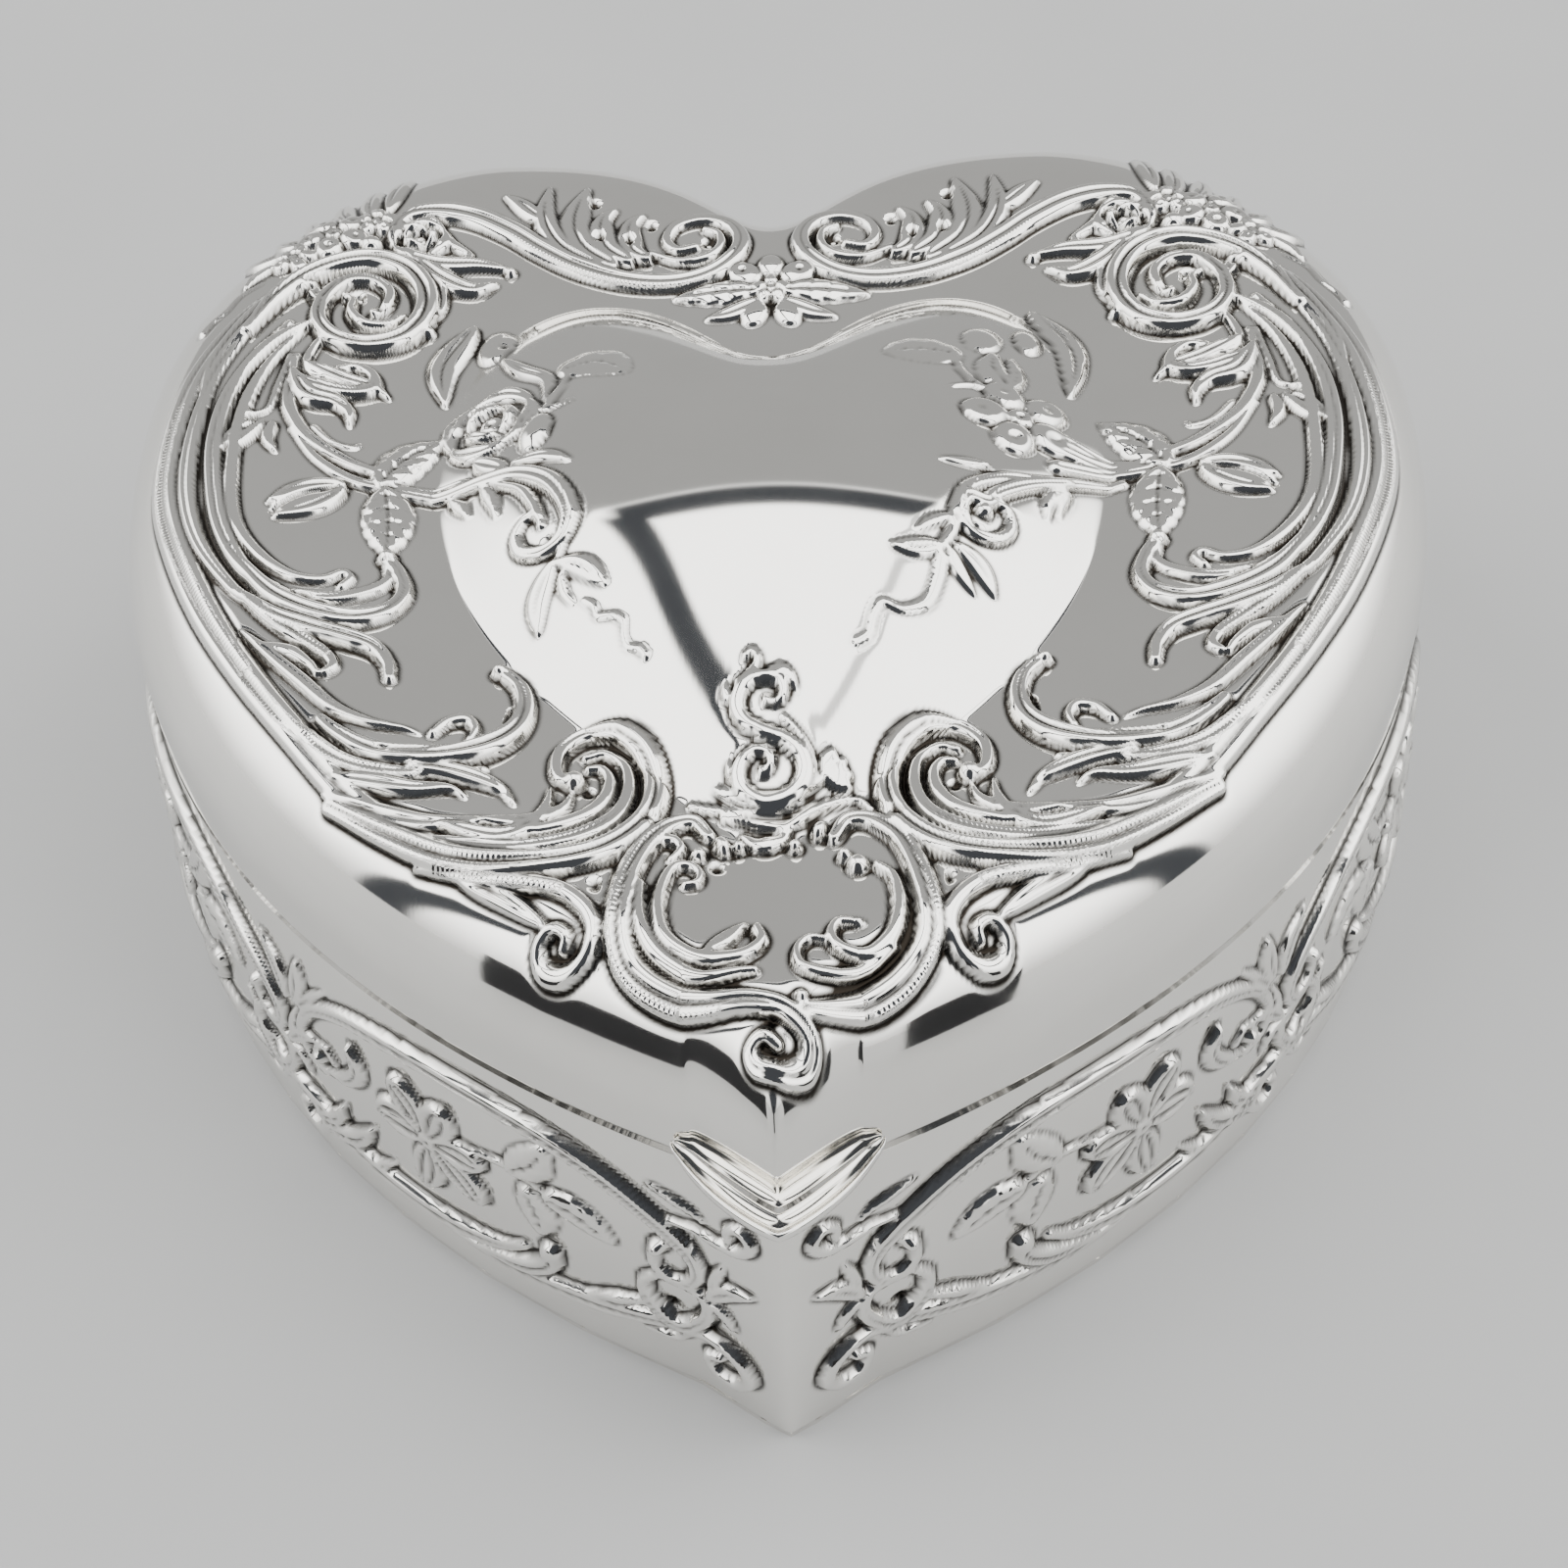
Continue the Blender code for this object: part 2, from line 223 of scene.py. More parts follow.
# ---------------------------------------------------------------- chased relief

def smooth_line(points, step=0.12):
    """A Catmull-Rom curve through points, resampled at an even step."""
    p = np.array(points, float)
    p = np.vstack([2 * p[0] - p[1], p, 2 * p[-1] - p[-2]])
    fine = []
    for a, b, c, d in zip(p, p[1:], p[2:], p[3:]):
        t = np.linspace(0, 1, 24, endpoint=False)[:, None]
        fine.append(0.5 * (2 * b + (c - a) * t + (2 * a - 5 * b + 4 * c - d) * t ** 2
                           + (3 * b - a - 3 * c + d) * t ** 3))
    fine = np.vstack(fine + [p[-2:-1]])
    run = np.concatenate([[0], np.cumsum(np.linalg.norm(np.diff(fine, axis=0), axis=1))])
    even = np.linspace(0, run[-1], max(3, int(run[-1] / step)))
    return np.column_stack([np.interp(even, run, fine[:, 0]), np.interp(even, run, fine[:, 1])]), run[-1]


def tapered(widths, share):
    """A width at each share of the way through (start, middle, end), or one width throughout."""
    if np.isscalar(widths):
        return np.full_like(share, widths)
    return np.interp(share, np.linspace(0, 1, len(widths)), widths)


def dome(side):
    return np.sqrt(np.clip(1 - side ** 2, 0, 1))


class Relief:
    """A map of the ornament's height in millimetres over a flat plan of a surface."""

    def __init__(self, low, high):
        self.low = np.array(low, float)
        self.size = np.ceil((np.array(high) - low) / RELIEF_CELL).astype(int) + 1
        self.height = np.zeros(self.size[::-1], np.float32)
        self.chased = np.zeros_like(self.height)
        self.along = np.zeros_like(self.height)

    def window(self, line, margin):
        """The part of the map within a margin of a line: its slices and its plan positions."""
        first = np.floor((line.min(0) - margin - self.low) / RELIEF_CELL).astype(int)
        last = np.ceil((line.max(0) + margin - self.low) / RELIEF_CELL).astype(int) + 1
        first = np.clip(first, 0, self.size - 1)
        last = np.clip(last, first + 1, self.size)
        xs = self.low[0] + np.arange(first[0], last[0]) * RELIEF_CELL
        ys = self.low[1] + np.arange(first[1], last[1]) * RELIEF_CELL
        return (slice(first[1], last[1]), slice(first[0], last[0])), xs, ys

    def near(self, points, half_width):
        """Round a line: (slices, signed distance over half width, share along, distance along)."""
        line, length = smooth_line(points)
        share = np.linspace(0, 1, len(line))
        half = np.maximum(half_width(share), 0.04)
        heading = np.gradient(line, axis=0)
        heading /= np.linalg.norm(heading, axis=1, keepdims=True) + 1e-9
        where, xs, ys = self.window(line, half.max() + 0.3)
        best = np.full((len(ys), len(xs)), 4.0, np.float32)
        index = np.zeros(best.shape, int)
        run = 24
        for start in range(0, len(line), run):
            part = line[start:start + run]
            reach = half[start:start + run].max() + 0.3
            cols = np.flatnonzero((xs > part[:, 0].min() - reach) & (xs < part[:, 0].max() + reach))
            rows = np.flatnonzero((ys > part[:, 1].min() - reach) & (ys < part[:, 1].max() + reach))
            if not len(cols) or not len(rows):
                continue
            patch = (slice(rows[0], rows[-1] + 1), slice(cols[0], cols[-1] + 1))
            dx = xs[patch[1]][None, :, None] - part[:, 0]
            dy = ys[patch[0]][:, None, None] - part[:, 1]
            scaled = np.sqrt(dx ** 2 + dy ** 2) / half[start:start + run]
            nearest = scaled.argmin(2)
            value = np.take_along_axis(scaled, nearest[:, :, None], 2)[:, :, 0]
            closer = value < best[patch]
            best[patch] = np.where(closer, value, best[patch])
            index[patch] = np.where(closer, nearest + start, index[patch])
        cross = (heading[index, 0] * (ys[:, None] - line[index, 1])
                 - heading[index, 1] * (xs[None, :] - line[index, 0]))
        return where, best * np.where(cross < 0, -1, 1), share[index], share[index] * length

    def raise_to(self, where, height):
        self.height[where] = np.maximum(self.height[where], height)

    def band(self, points, width, height, flutes=0, depth=0.35):
        """A strip along points with rounded flutes side by side: a wide one gets two."""
        flutes = flutes or (2 if np.max(width) >= 2.0 else 1)
        where, side, share, _ = self.near(points, lambda t: tapered(width, t) / 2)
        widest = np.max(width)
        local = height * (0.4 + 0.6 * tapered(width, share) / widest)
        ridges = np.abs(np.sin(flutes * np.pi * (side + 1) / 2)) if flutes > 1 else 1.0
        body = np.where(np.abs(side) < 1, dome(side) ** 0.5 * (1 - depth + depth * ridges), 0)
        self.raise_to(where, local * body)

    def leaf(self, points, width, height, teeth=0):
        """A pointed leaf from its base to its tip; one with a toothed edge has side veins too."""
        def half(t):
            plain = width / 2 * np.sin(np.pi * t ** 0.8) ** 0.8
            return plain * (1 - 0.16 * ((teeth * t) % 1)) if teeth else plain
        where, side, share, _ = self.near(points, half)
        across = np.abs(side)
        curl = 0.55 + 0.45 * np.sin(np.pi * across ** 0.7)
        body = np.where(across < 1, np.clip(1 - across ** 4, 0, 1) ** 0.5 * curl, 0)
        furrows = np.clip(1 - 5 * np.abs((5 * share - 0.9 * across) % 1 - 0.5), 0, 1)
        veined = 1 - LEAF_VEINS * furrows if teeth else 1
        self.raise_to(where, height * body * veined * (1 - 0.35 * share))

    def petal(self, points, width, height, rays=0):
        """A cupped petal, low at its base and curled up at its outer edge."""
        def half(t):
            return width / 2 * np.sin(np.pi * (0.12 + 0.8 * t) ** 1.3) ** 0.7
        where, side, share, _ = self.near(points, half)
        across = np.abs(side)
        cup = 0.5 + 0.5 * np.maximum(across ** 2, share ** 2)
        body = np.where(across < 1, np.clip(1 - across ** 6, 0, 1) ** 0.5 * cup, 0)
        if rays:
            body = body * (0.8 + 0.2 * np.cos(rays * np.pi * side))
        self.raise_to(where, height * body)

    def flower(self, centre, reach, height, petals=5, turn=90.0):
        """Hollowed oval petals round a beaded eye."""
        x, y = centre
        width = 0.62 * reach * math.sin(math.pi / petals)
        for k in range(petals):
            angle = math.radians(turn + 360 * k / petals)
            ux, uy = math.cos(angle) * reach, math.sin(angle) * reach
            middle = (x + 0.6 * ux, y + 0.6 * uy)
            self.raise_dome(middle, (0.42 * reach, width), height, turn=math.degrees(angle))
            self.pit((x + 0.68 * ux, y + 0.68 * uy), 0.5 * width, 0.4 * height)
        self.bead(centre, 0.24 * reach, 1.05 * height)
        self.pit(centre, 0.12 * reach, 0.6 * height)

    def bead(self, centre, radius, height):
        self.raise_dome(centre, (radius, radius), height)

    def raise_dome(self, centre, radii, height, turn=0.0):
        """An oval boss, turned by an angle in degrees."""
        middle = np.array([centre], float)
        where, xs, ys = self.window(middle, max(radii))
        dx, dy = np.meshgrid(xs - centre[0], ys - centre[1])
        angle = math.radians(turn)
        u = (dx * math.cos(angle) + dy * math.sin(angle)) / radii[0]
        v = (dy * math.cos(angle) - dx * math.sin(angle)) / radii[1]
        self.raise_to(where, height * dome(np.minimum(1, np.hypot(u, v))))

    def pit(self, centre, radius, depth):
        """A soft round hollow sunk with a punch."""
        where, xs, ys = self.window(np.array([centre], float), radius * 3)
        dx, dy = np.meshgrid(xs - centre[0], ys - centre[1])
        self.height[where] -= depth * np.exp(-(dx ** 2 + dy ** 2) / (2 * (radius * 0.7) ** 2))

    def groove(self, points, width, depth):
        """A line cut into whatever is there."""
        where, side, _, _ = self.near(points, lambda t: tapered(width, t) / 2)
        self.height[where] -= depth * dome(np.clip(side, -1, 1)) * (np.abs(side) < 1)

    def chase(self, points, width):
        """A strip of fine cross strokes; they show as bump, this only marks where they run."""
        where, side, _, run = self.near(points, lambda t: tapered(width, t) / 2)
        inside = np.abs(side) < 0.9
        self.chased[where] = np.where(inside, np.clip((0.9 - np.abs(side)) * 4, 0, 1), self.chased[where])
        self.along[where] = np.where(inside, run, self.along[where])

    def finish(self):
        """Soften the map as sheet metal does, sink the ground beside the work and find its crevices."""
        soft = blurred(self.height, SOFTENING)
        wide = blurred(soft, GROUND_BLUR)
        self.height = 0.9 * soft - 0.35 * np.clip(wide - soft, 0, 0.6)
        # the crevice mask, which the material turns into tarnish and painted shade in the hollows
        hollow = blurred(self.height, CREVICE_BLUR) - self.height
        self.crevice = np.clip((hollow - CREVICE_START) / CREVICE_RANGE, 0, 1)

    def sample(self, layer, points):
        """A layer's values at plan positions, read between its cells."""
        at = (points - self.low) / RELIEF_CELL
        at = np.clip(at, 0, self.size - 1.001)
        cell = at.astype(int)
        fx, fy = (at - cell).T
        x, y = cell.T
        return ((layer[y, x] * (1 - fx) + layer[y, x + 1] * fx) * (1 - fy)
                + (layer[y + 1, x] * (1 - fx) + layer[y + 1, x + 1] * fx) * fy)


def blurred(layer, radius):
    """A Gaussian blur by a radius in millimetres."""
    rows, cols = layer.shape
    fy = np.fft.fftfreq(rows, RELIEF_CELL)[:, None]
    fx = np.fft.rfftfreq(cols, RELIEF_CELL)[None, :]
    keep = np.exp(-2 * (np.pi * radius) ** 2 * (fx ** 2 + fy ** 2))
    return np.fft.irfft2(np.fft.rfft2(layer) * keep, s=layer.shape).astype(np.float32)


class Pen:
    """Draws on a relief, on one side of the centre line: side is 1 for +X and -1 for -X."""

    def __init__(self, relief, side):
        self.relief = relief
        self.side = side

    def __getattr__(self, tool):
        drawn = getattr(self.relief, tool)

        def use(place, *sizes, **extra):
            if np.isscalar(place[0]):
                flipped = (place[0] * self.side, place[1])
            else:
                flipped = [(x * self.side, y) for x, y in place]
            if tool == "flower" and self.side < 0:
                extra["turn"] = 180 - extra.get("turn", 90.0)
            if tool == "raise_dome" and self.side < 0:
                extra["turn"] = -extra.get("turn", 0.0)
            return drawn(flipped, *sizes, **extra)
        return use


# ---------------------------------------------------------------- ornament of the lid

def side_band(pen):
    """The long fluted sweep from the top volute down the shoulder to the lower volute."""
    outer = [(58, 129.5), (64.5, 124), (68.8, 117), (71.8, 108), (72.8, 98), (72, 88), (68.8, 78), (63.8, 67),
             (57.8, 57), (51, 47.5), (44, 38.5), (37, 32.6), (30, 28.6), (24, 27)]
    pen.band(outer, (1.2, 3.4, 3.6, 3.4, 3.2, 2.4), 1.15)
    pen.chase([(72.2, 104), (72.6, 96), (71.6, 86), (68.2, 77), (63, 66.5), (57, 56.5)], 1.6)
    pen.band([(64, 121), (67, 115), (69.3, 107), (70, 97), (69, 87), (66, 78), (61, 70), (57, 66)],
             (1.2, 2.2, 1.4), 1.0)
    pen.band([(61, 118.5), (64.4, 112), (66.6, 104), (66.9, 95), (65.4, 86), (63.3, 79), (59.8, 72.5),
              (55.5, 68.8), (50, 67.8), (45.6, 69.3), (43.5, 71.5), (43.8, 74)],
             (1.0, 2.2, 2.4, 2.2, 1.4), 1.2)
    pen.band([(58.8, 117.5), (62, 111.5), (64, 104), (64.4, 95), (63.5, 86), (61.8, 80), (58.5, 75),
              (54.5, 71.6), (51, 71), (48.8, 72.3), (47.8, 71.5), (48.6, 70)], (0.8, 1.8, 1.8, 1.6, 1.0),
             1.0)
    pen.leaf([(56.4, 120), (60.5, 126.4), (65.5, 120.5), (69, 112.5), (70.2, 103.6)], 3.4, 1.5)
    pen.groove([(57.5, 126.2), (60.8, 123.6), (64.2, 119.4)], (0.6, 1.8, 0.6), 1.0)
    pen.leaf([(57.5, 118.5), (61, 116), (64, 112), (66.8, 104.8)], 2.0, 1.4)


def shoulder_lobes(pen):
    """Horned lobes that leave the band half way down and hook towards the cushion."""
    pen.band([(62, 76), (60, 73), (56, 68.2), (51, 65.2), (46.5, 64.4), (43, 66), (41.5, 69),
              (42.4, 72.4), (44.2, 75.2)], (1.4, 2.6, 3.2, 2.2, 1.8), 1.7)
    pen.groove([(55, 69.5), (50, 66.6), (46, 66.6), (43.6, 69)], (0.4, 0.8, 0.4), 0.7)
    pen.bead((44.0, 75.0), 1.2, 1.7)
    pen.band([(59, 68), (55, 64.6), (51, 62.6), (47, 61.2), (43.8, 59.8), (42, 57.4), (41.5, 55)],
             (1.2, 2.6, 2.6, 1.4), 1.6)
    pen.pit((45.6, 57.8), 0.9, 0.6)
    pen.band([(60, 69), (56, 64.6), (52, 61.2), (48.8, 58.6), (47.8, 56.8), (48.5, 55.8)],
             (1.2, 2.2, 1.2), 1.3)
    pen.leaf([(59, 63), (54.3, 58), (51, 54.6), (47, 50.5), (43, 48.2), (39, 47.2), (36.9, 46.4)], 2.0,
             1.2)
    pen.band([(56.6, 60.2), (53, 59), (50.4, 57), (49.4, 55.6)], (1.0, 1.8, 0.8), 1.2)
    pen.chase([(60, 70), (56, 64.6), (52, 61.2), (48.8, 58.6)], 1.4)


def horn_leaf(pen):
    """The comma-shaped leaf that curls up beside the lower volute, with its train of flutes."""
    pen.band([(48, 48.5), (46, 46.5), (43, 44.2), (40, 43), (35, 42.8), (30.5, 44.2), (27.5, 47),
              (26.5, 50.5), (27.3, 54), (29.6, 56.5)], (1.4, 2.4, 3.4, 3.4, 2.4, 1.6), 2.0)
    pen.groove([(41, 43.6), (36, 43.6), (31.6, 45.2), (28.8, 48), (28, 51)], (0.5, 1.0, 0.5), 0.8)
    pen.bead((29.7, 56.3), 0.9, 1.8)
    pen.band([(36, 46.5), (34.5, 48.3), (32.6, 48.8), (31.6, 47.4), (32, 45.7)], (1.0, 1.6, 0.8), 1.2)
    pen.band([(57, 56), (52.8, 50.2), (48.9, 46.2), (45, 42.8), (41, 41), (37, 40.6), (30, 41.3)],
             (1.0, 2.0, 2.0, 0.8), 1.1)
    pen.chase([(57, 56), (52.8, 50.2), (48.9, 46.2), (45, 42.8), (41, 41), (37, 40.6)], 1.5)
    pen.leaf([(46, 41), (38, 38.5), (33.5, 38.3), (31.4, 37.0)], 2.4, 1.3)
    pen.leaf([(38, 41.2), (33, 40.6), (28.5, 38.6), (26.4, 36)], 2.6, 1.4)
    pen.leaf([(47, 39.5), (40, 35.5), (34, 33.5), (26, 34)], 2.6, 1.3)
    pen.pit((27.8, 37.4), 0.8, 0.6)


def lower_volute(pen):
    """The large volute above the cartouche: three flutes wound into an eye."""
    pen.band([(46, 38), (39, 33), (32, 29), (25, 27.4), (18, 28.8), (13.6, 33), (12, 38), (13, 43),
              (16, 46.2), (19.6, 46.4), (22.2, 44), (22.4, 40.6), (20.6, 39)],
             (1.6, 2.8, 3.4, 3.2, 3.0, 2.2, 1.4), 2.1)
    pen.band([(34, 31.6), (27, 29.8), (20.6, 30.8), (16.5, 33.8), (14.9, 38), (15.4, 42), (17.6, 43.8),
              (19.6, 43.2)], (1.0, 1.8, 2.2, 1.6, 0.9), 1.6)
    pen.band([(28, 32), (23.4, 32.4), (19.6, 34.2), (17.4, 36.8), (16.9, 39.8), (17.8, 41.6),
              (19.2, 41.6)], (0.8, 1.7, 1.8, 0.9), 1.3)
    pen.leaf([(34, 33.2), (28, 31.4), (24.6, 33), (23.2, 36), (23, 39)], 2.4, 1.5)
    pen.leaf([(30, 33.4), (25, 33.6), (21.6, 35.6), (20.6, 38.6)], 2.0, 1.3)
    pen.bead((20.6, 39.6), 1.3, 1.9)
    pen.pit((19.0, 38.4), 0.6, 0.7)
    pen.chase([(46, 38), (39, 33), (32, 29), (25, 27.4), (18, 28.8)], 1.8)
    pen.band([(36, 29.2), (30, 26.8), (25.5, 25.6), (21.4, 24.4), (18.6, 22.2), (17.4, 19.6),
              (18.2, 17.2), (20.4, 16.4), (22.6, 17.4), (23, 19.2), (21.6, 20.4), (20.2, 19.6),
              (20.4, 18.4)], (0.8, 1.8, 1.8, 1.6, 1.1), 1.5)
    pen.leaf([(32, 27.4), (27, 24.4), (23.4, 21.6), (21.6, 20)], 2.4, 1.2)
    pen.pit((17.6, 25.2), 1.0, 0.6)
    pen.chase([(34, 28.4), (29, 26.4), (25, 25.3), (21, 24)], 1.0)


def top_volute(pen):
    """The tight scroll at the head of the band."""
    pen.band([(66, 117), (63, 123.5), (58.5, 128.6), (52.8, 130.8), (47.6, 129.2), (44.6, 125),
              (44.2, 120), (46.4, 115.6), (50.6, 113.8), (54.8, 115), (57.2, 118.4), (57.2, 122.6),
              (54.8, 126.4), (51.4, 126.8), (49, 124.6), (49.2, 121.6), (50.6, 120.4)],
             (1.6, 3.4, 3.8, 3.8, 3.4, 2.6, 2.0, 1.4), 2.3)
    pen.band([(46.6, 120), (48.6, 117.8), (51.6, 117.8), (53.4, 120.4), (53.4, 122.8), (54.6, 123.6)],
             (0.8, 1.8, 1.0), 1.9)
    pen.groove([(60, 126), (54, 128.6), (48.6, 127.6), (46, 123.6), (46, 119.6), (48, 116.6)],
               (0.4, 0.7, 0.4), 0.8)
    pen.pit((53.0, 124.0), 0.9, 1.0)
    pen.pit((49.8, 120.9), 0.6, 0.8)
    pen.leaf([(47.5, 131), (43.4, 127), (42.2, 122.4), (42.9, 118.6)], 2.4, 1.4)
    pen.bead((43.3, 117.0), 0.9, 1.3)
    pen.leaf([(49, 132.6), (43.5, 130.6), (38, 130.6), (33.4, 129.4)], 3.4, 1.5)
    pen.leaf([(46, 131), (42.6, 127.6), (38.6, 125.6), (35.2, 127)], 3.6, 1.7)
    pen.bead((33.8, 129.2), 0.8, 1.2)


def tulip_sprig(pen):
    """The tulip-like claw under the top volute and the stems that hang from it."""
    pen.band([(56.2, 116), (57.2, 113.6), (57.8, 111), (57.2, 108.8), (55.4, 107.6), (53.4, 107.8),
              (52.8, 109)], (1.2, 1.4, 0.9), 1.0)
    pen.band([(53.8, 109.4), (51.4, 109.8), (49.4, 108.2), (49, 105.8), (51.4, 104.8), (55, 105.4),
              (58.6, 107.4), (59.4, 111)], (1.0, 1.8, 2.2, 1.0), 1.6)
    pen.leaf([(59.4, 108.6), (57, 104.2), (53.5, 102.9), (51.6, 101.2), (51.2, 98.6)], 3.2, 1.7)
    pen.leaf([(58, 110), (53, 107.4), (49, 106), (46.8, 104)], 2.8, 1.5)
    pen.pit((53.6, 101.4), 0.9, 0.6)
    pen.band([(59.2, 112), (59.3, 105), (58.3, 100.5), (55.5, 96), (51, 92.3), (47, 90.4), (44.6, 89.6)],
             (1.0, 2.0, 1.8, 1.2), 1.0)
    pen.band([(58, 98), (54.4, 92.6), (50, 89), (46, 87.6), (41, 86.6), (36, 86)], (0.8, 1.4, 1.8, 1.4),
             0.9, flutes=2)
    pen.band([(55.5, 98.4), (53, 95.8), (50.4, 94.9), (49.6, 95.5)], (0.8, 0.5), 0.5)
    pen.band([(60, 112), (60.8, 106), (61.4, 101.6), (63.2, 100.4)], (0.8, 0.9, 0.6), 0.7)
    pen.bead((63.4, 100.4), 0.7, 0.9)
    pen.leaf([(60.2, 99), (60.6, 96), (59.3, 93.3)], 1.8, 1.1)
    pen.leaf([(61.2, 98.8), (63.4, 95.8), (65.2, 92.8)], 2.0, 1.2)
    pen.leaf([(62.6, 99), (65, 96.8), (65.8, 93.6)], 1.6, 1.0)


def rose_leaves(pen):
    """Toothed leaves and a bud on the shoulder, outside the cushion's edge."""
    pen.leaf([(46.4, 87.6), (43.6, 92.6), (39.4, 95.8)], 6.2, 1.3, teeth=7)
    pen.leaf([(45.6, 87), (44.6, 81.4), (44.2, 75.6)], 6.4, 1.3, teeth=7)
    pen.raise_dome((54.6, 85.4), (4.2, 3.2), 1.1, turn=-25)
    pen.leaf([(50.2, 87.2), (54.4, 86.8), (59, 84.2)], 3.6, 1.5)
    pen.leaf([(50.2, 86.6), (53.6, 83.6), (58, 81.6)], 3.0, 1.3)
    pen.groove([(51, 86.8), (55, 85.2), (58.4, 82.8)], (0.3, 0.6, 0.3), 0.8)


def top_scroll(pen):
    """The C-scroll along the back of each lobe, with its volute by the cleft and acanthus tongues."""
    pen.band([(48.6, 136.6), (49.6, 138.6), (47.8, 141.2), (44, 141.6), (39, 140.2), (34, 137),
              (30, 133.6), (25, 130), (19, 127.2), (13, 126.2), (8, 127.2), (4.8, 130), (3.9, 133.6),
              (5.6, 137), (9, 138.2), (12.4, 137), (13.6, 134.4), (12.2, 132.4), (9.8, 132.6)],
             (1.4, 4.2, 3.8, 3.6, 3.2, 2.8, 2.0, 1.2), 1.6, depth=0.3)
    pen.chase([(34, 136), (30, 132.6), (25, 129), (19, 126.3), (13, 125.4), (8, 126.4)], 1.2)
    pen.band([(15.6, 132), (12, 130), (8.4, 130), (6.6, 132), (6.8, 134.6), (8.6, 135.8)],
             (0.8, 1.6, 1.0), 1.3)
    pen.pit((8.2, 133.6), 0.8, 0.9)
    pen.leaf([(22, 129.6), (27.4, 134), (30, 140), (29.6, 147)], 3.8, 1.5)
    pen.leaf([(20, 129.4), (24.6, 134), (26, 139.4), (24.4, 146.4)], 5.0, 1.4)
    pen.leaf([(18, 130), (21.6, 133.6), (22.4, 138.4), (20.4, 141.4)], 4.2, 1.5)
    pen.leaf([(15.6, 130.4), (18.2, 133), (18.6, 137.4), (16.6, 140)], 3.6, 1.4)
    for x, y in ((22.6, 135.4), (18.4, 134.6), (15.8, 137.8), (23.4, 143)):
        pen.pit((x, y), 0.8, 0.8)
    pen.leaf([(30, 139), (33.4, 143), (35.8, 145.2)], 3.0, 1.1)
    pen.band([(43.4, 138), (41.6, 134.6), (39.4, 132.6), (40.6, 131.4)], (0.8, 1.6, 0.8), 1.0)


def rose(pen, centre, reach, height):
    """Four cupped petals round three higher ones, with a hollow heart."""
    x, y = centre
    outer = [(turn, 0.76, 0.44) for turn in (20, 110, 200, 290)]
    petals = outer + [(turn, 0.4, 0.3) for turn in (60, 180, 300)]
    for turn, radius, width in petals:
        angles = [math.radians(turn + lean) for lean in (-50, -25, 0, 25, 50)]
        arc = [(x + radius * reach * math.cos(a), y + radius * reach * math.sin(a)) for a in angles]
        pen.band(arc, (0.12 * reach, width * reach, 0.12 * reach), height * (1.9 - radius))
    pen.bead(centre, 0.2 * reach, 1.1 * height)
    pen.pit(centre, 0.15 * reach, 1.2 * height)


def lobe_flowers(pen):
    """The bunch of roses and blossoms where band and top scroll meet, with a sheaf behind it."""
    rose(pen, (46.2, 135.6), 4.6, 1.5)
    pen.flower((57.6, 137.2), 5.0, 1.8, petals=5, turn=60)
    pen.flower((52.2, 139.6), 3.0, 1.7, petals=5, turn=20)
    pen.flower((62.4, 132.6), 3.2, 1.5, petals=5, turn=100)
    pen.bead((52.4, 134.6), 1.5, 1.7)
    pen.leaf([(64.5, 132), (67.4, 130.6), (68.6, 128)], 2.2, 0.9)
    pen.band([(66, 128.6), (69, 126.6), (70.3, 123.8), (72, 122.2), (73, 120.4)], (0.5, 0.8, 1.2), 0.5)
    for k in range(6):
        pen.leaf([(51 + 2.2 * k, 142 - 1.6 * k), (50.5 + 3.4 * k, 149.5 - 3.0 * k),
                  (49.6 + 4.2 * k, 158 - 4.0 * k)], 3.2, 1.1)


def palmette(pen):
    """The small palmette in the cleft, one half of it."""
    pen.leaf([(1, 123), (7, 123.6), (12.6, 123)], 4.6, 1.1, teeth=5)
    pen.leaf([(1, 121.4), (5, 119.6), (8.4, 118.6)], 3.0, 1.0)
    pen.raise_dome((3.4, 126.6), (2.6, 2.0), 1.2, turn=40)
    pen.pit((3.6, 126.8), 0.7, 0.5)
    pen.raise_dome((0, 127.8), (1.8, 2.2), 1.2)
    pen.raise_dome((2.1, 119.2), (1.7, 2.4), 1.0, turn=20)
    pen.flower((0, 123.2), 2.6, 1.6)


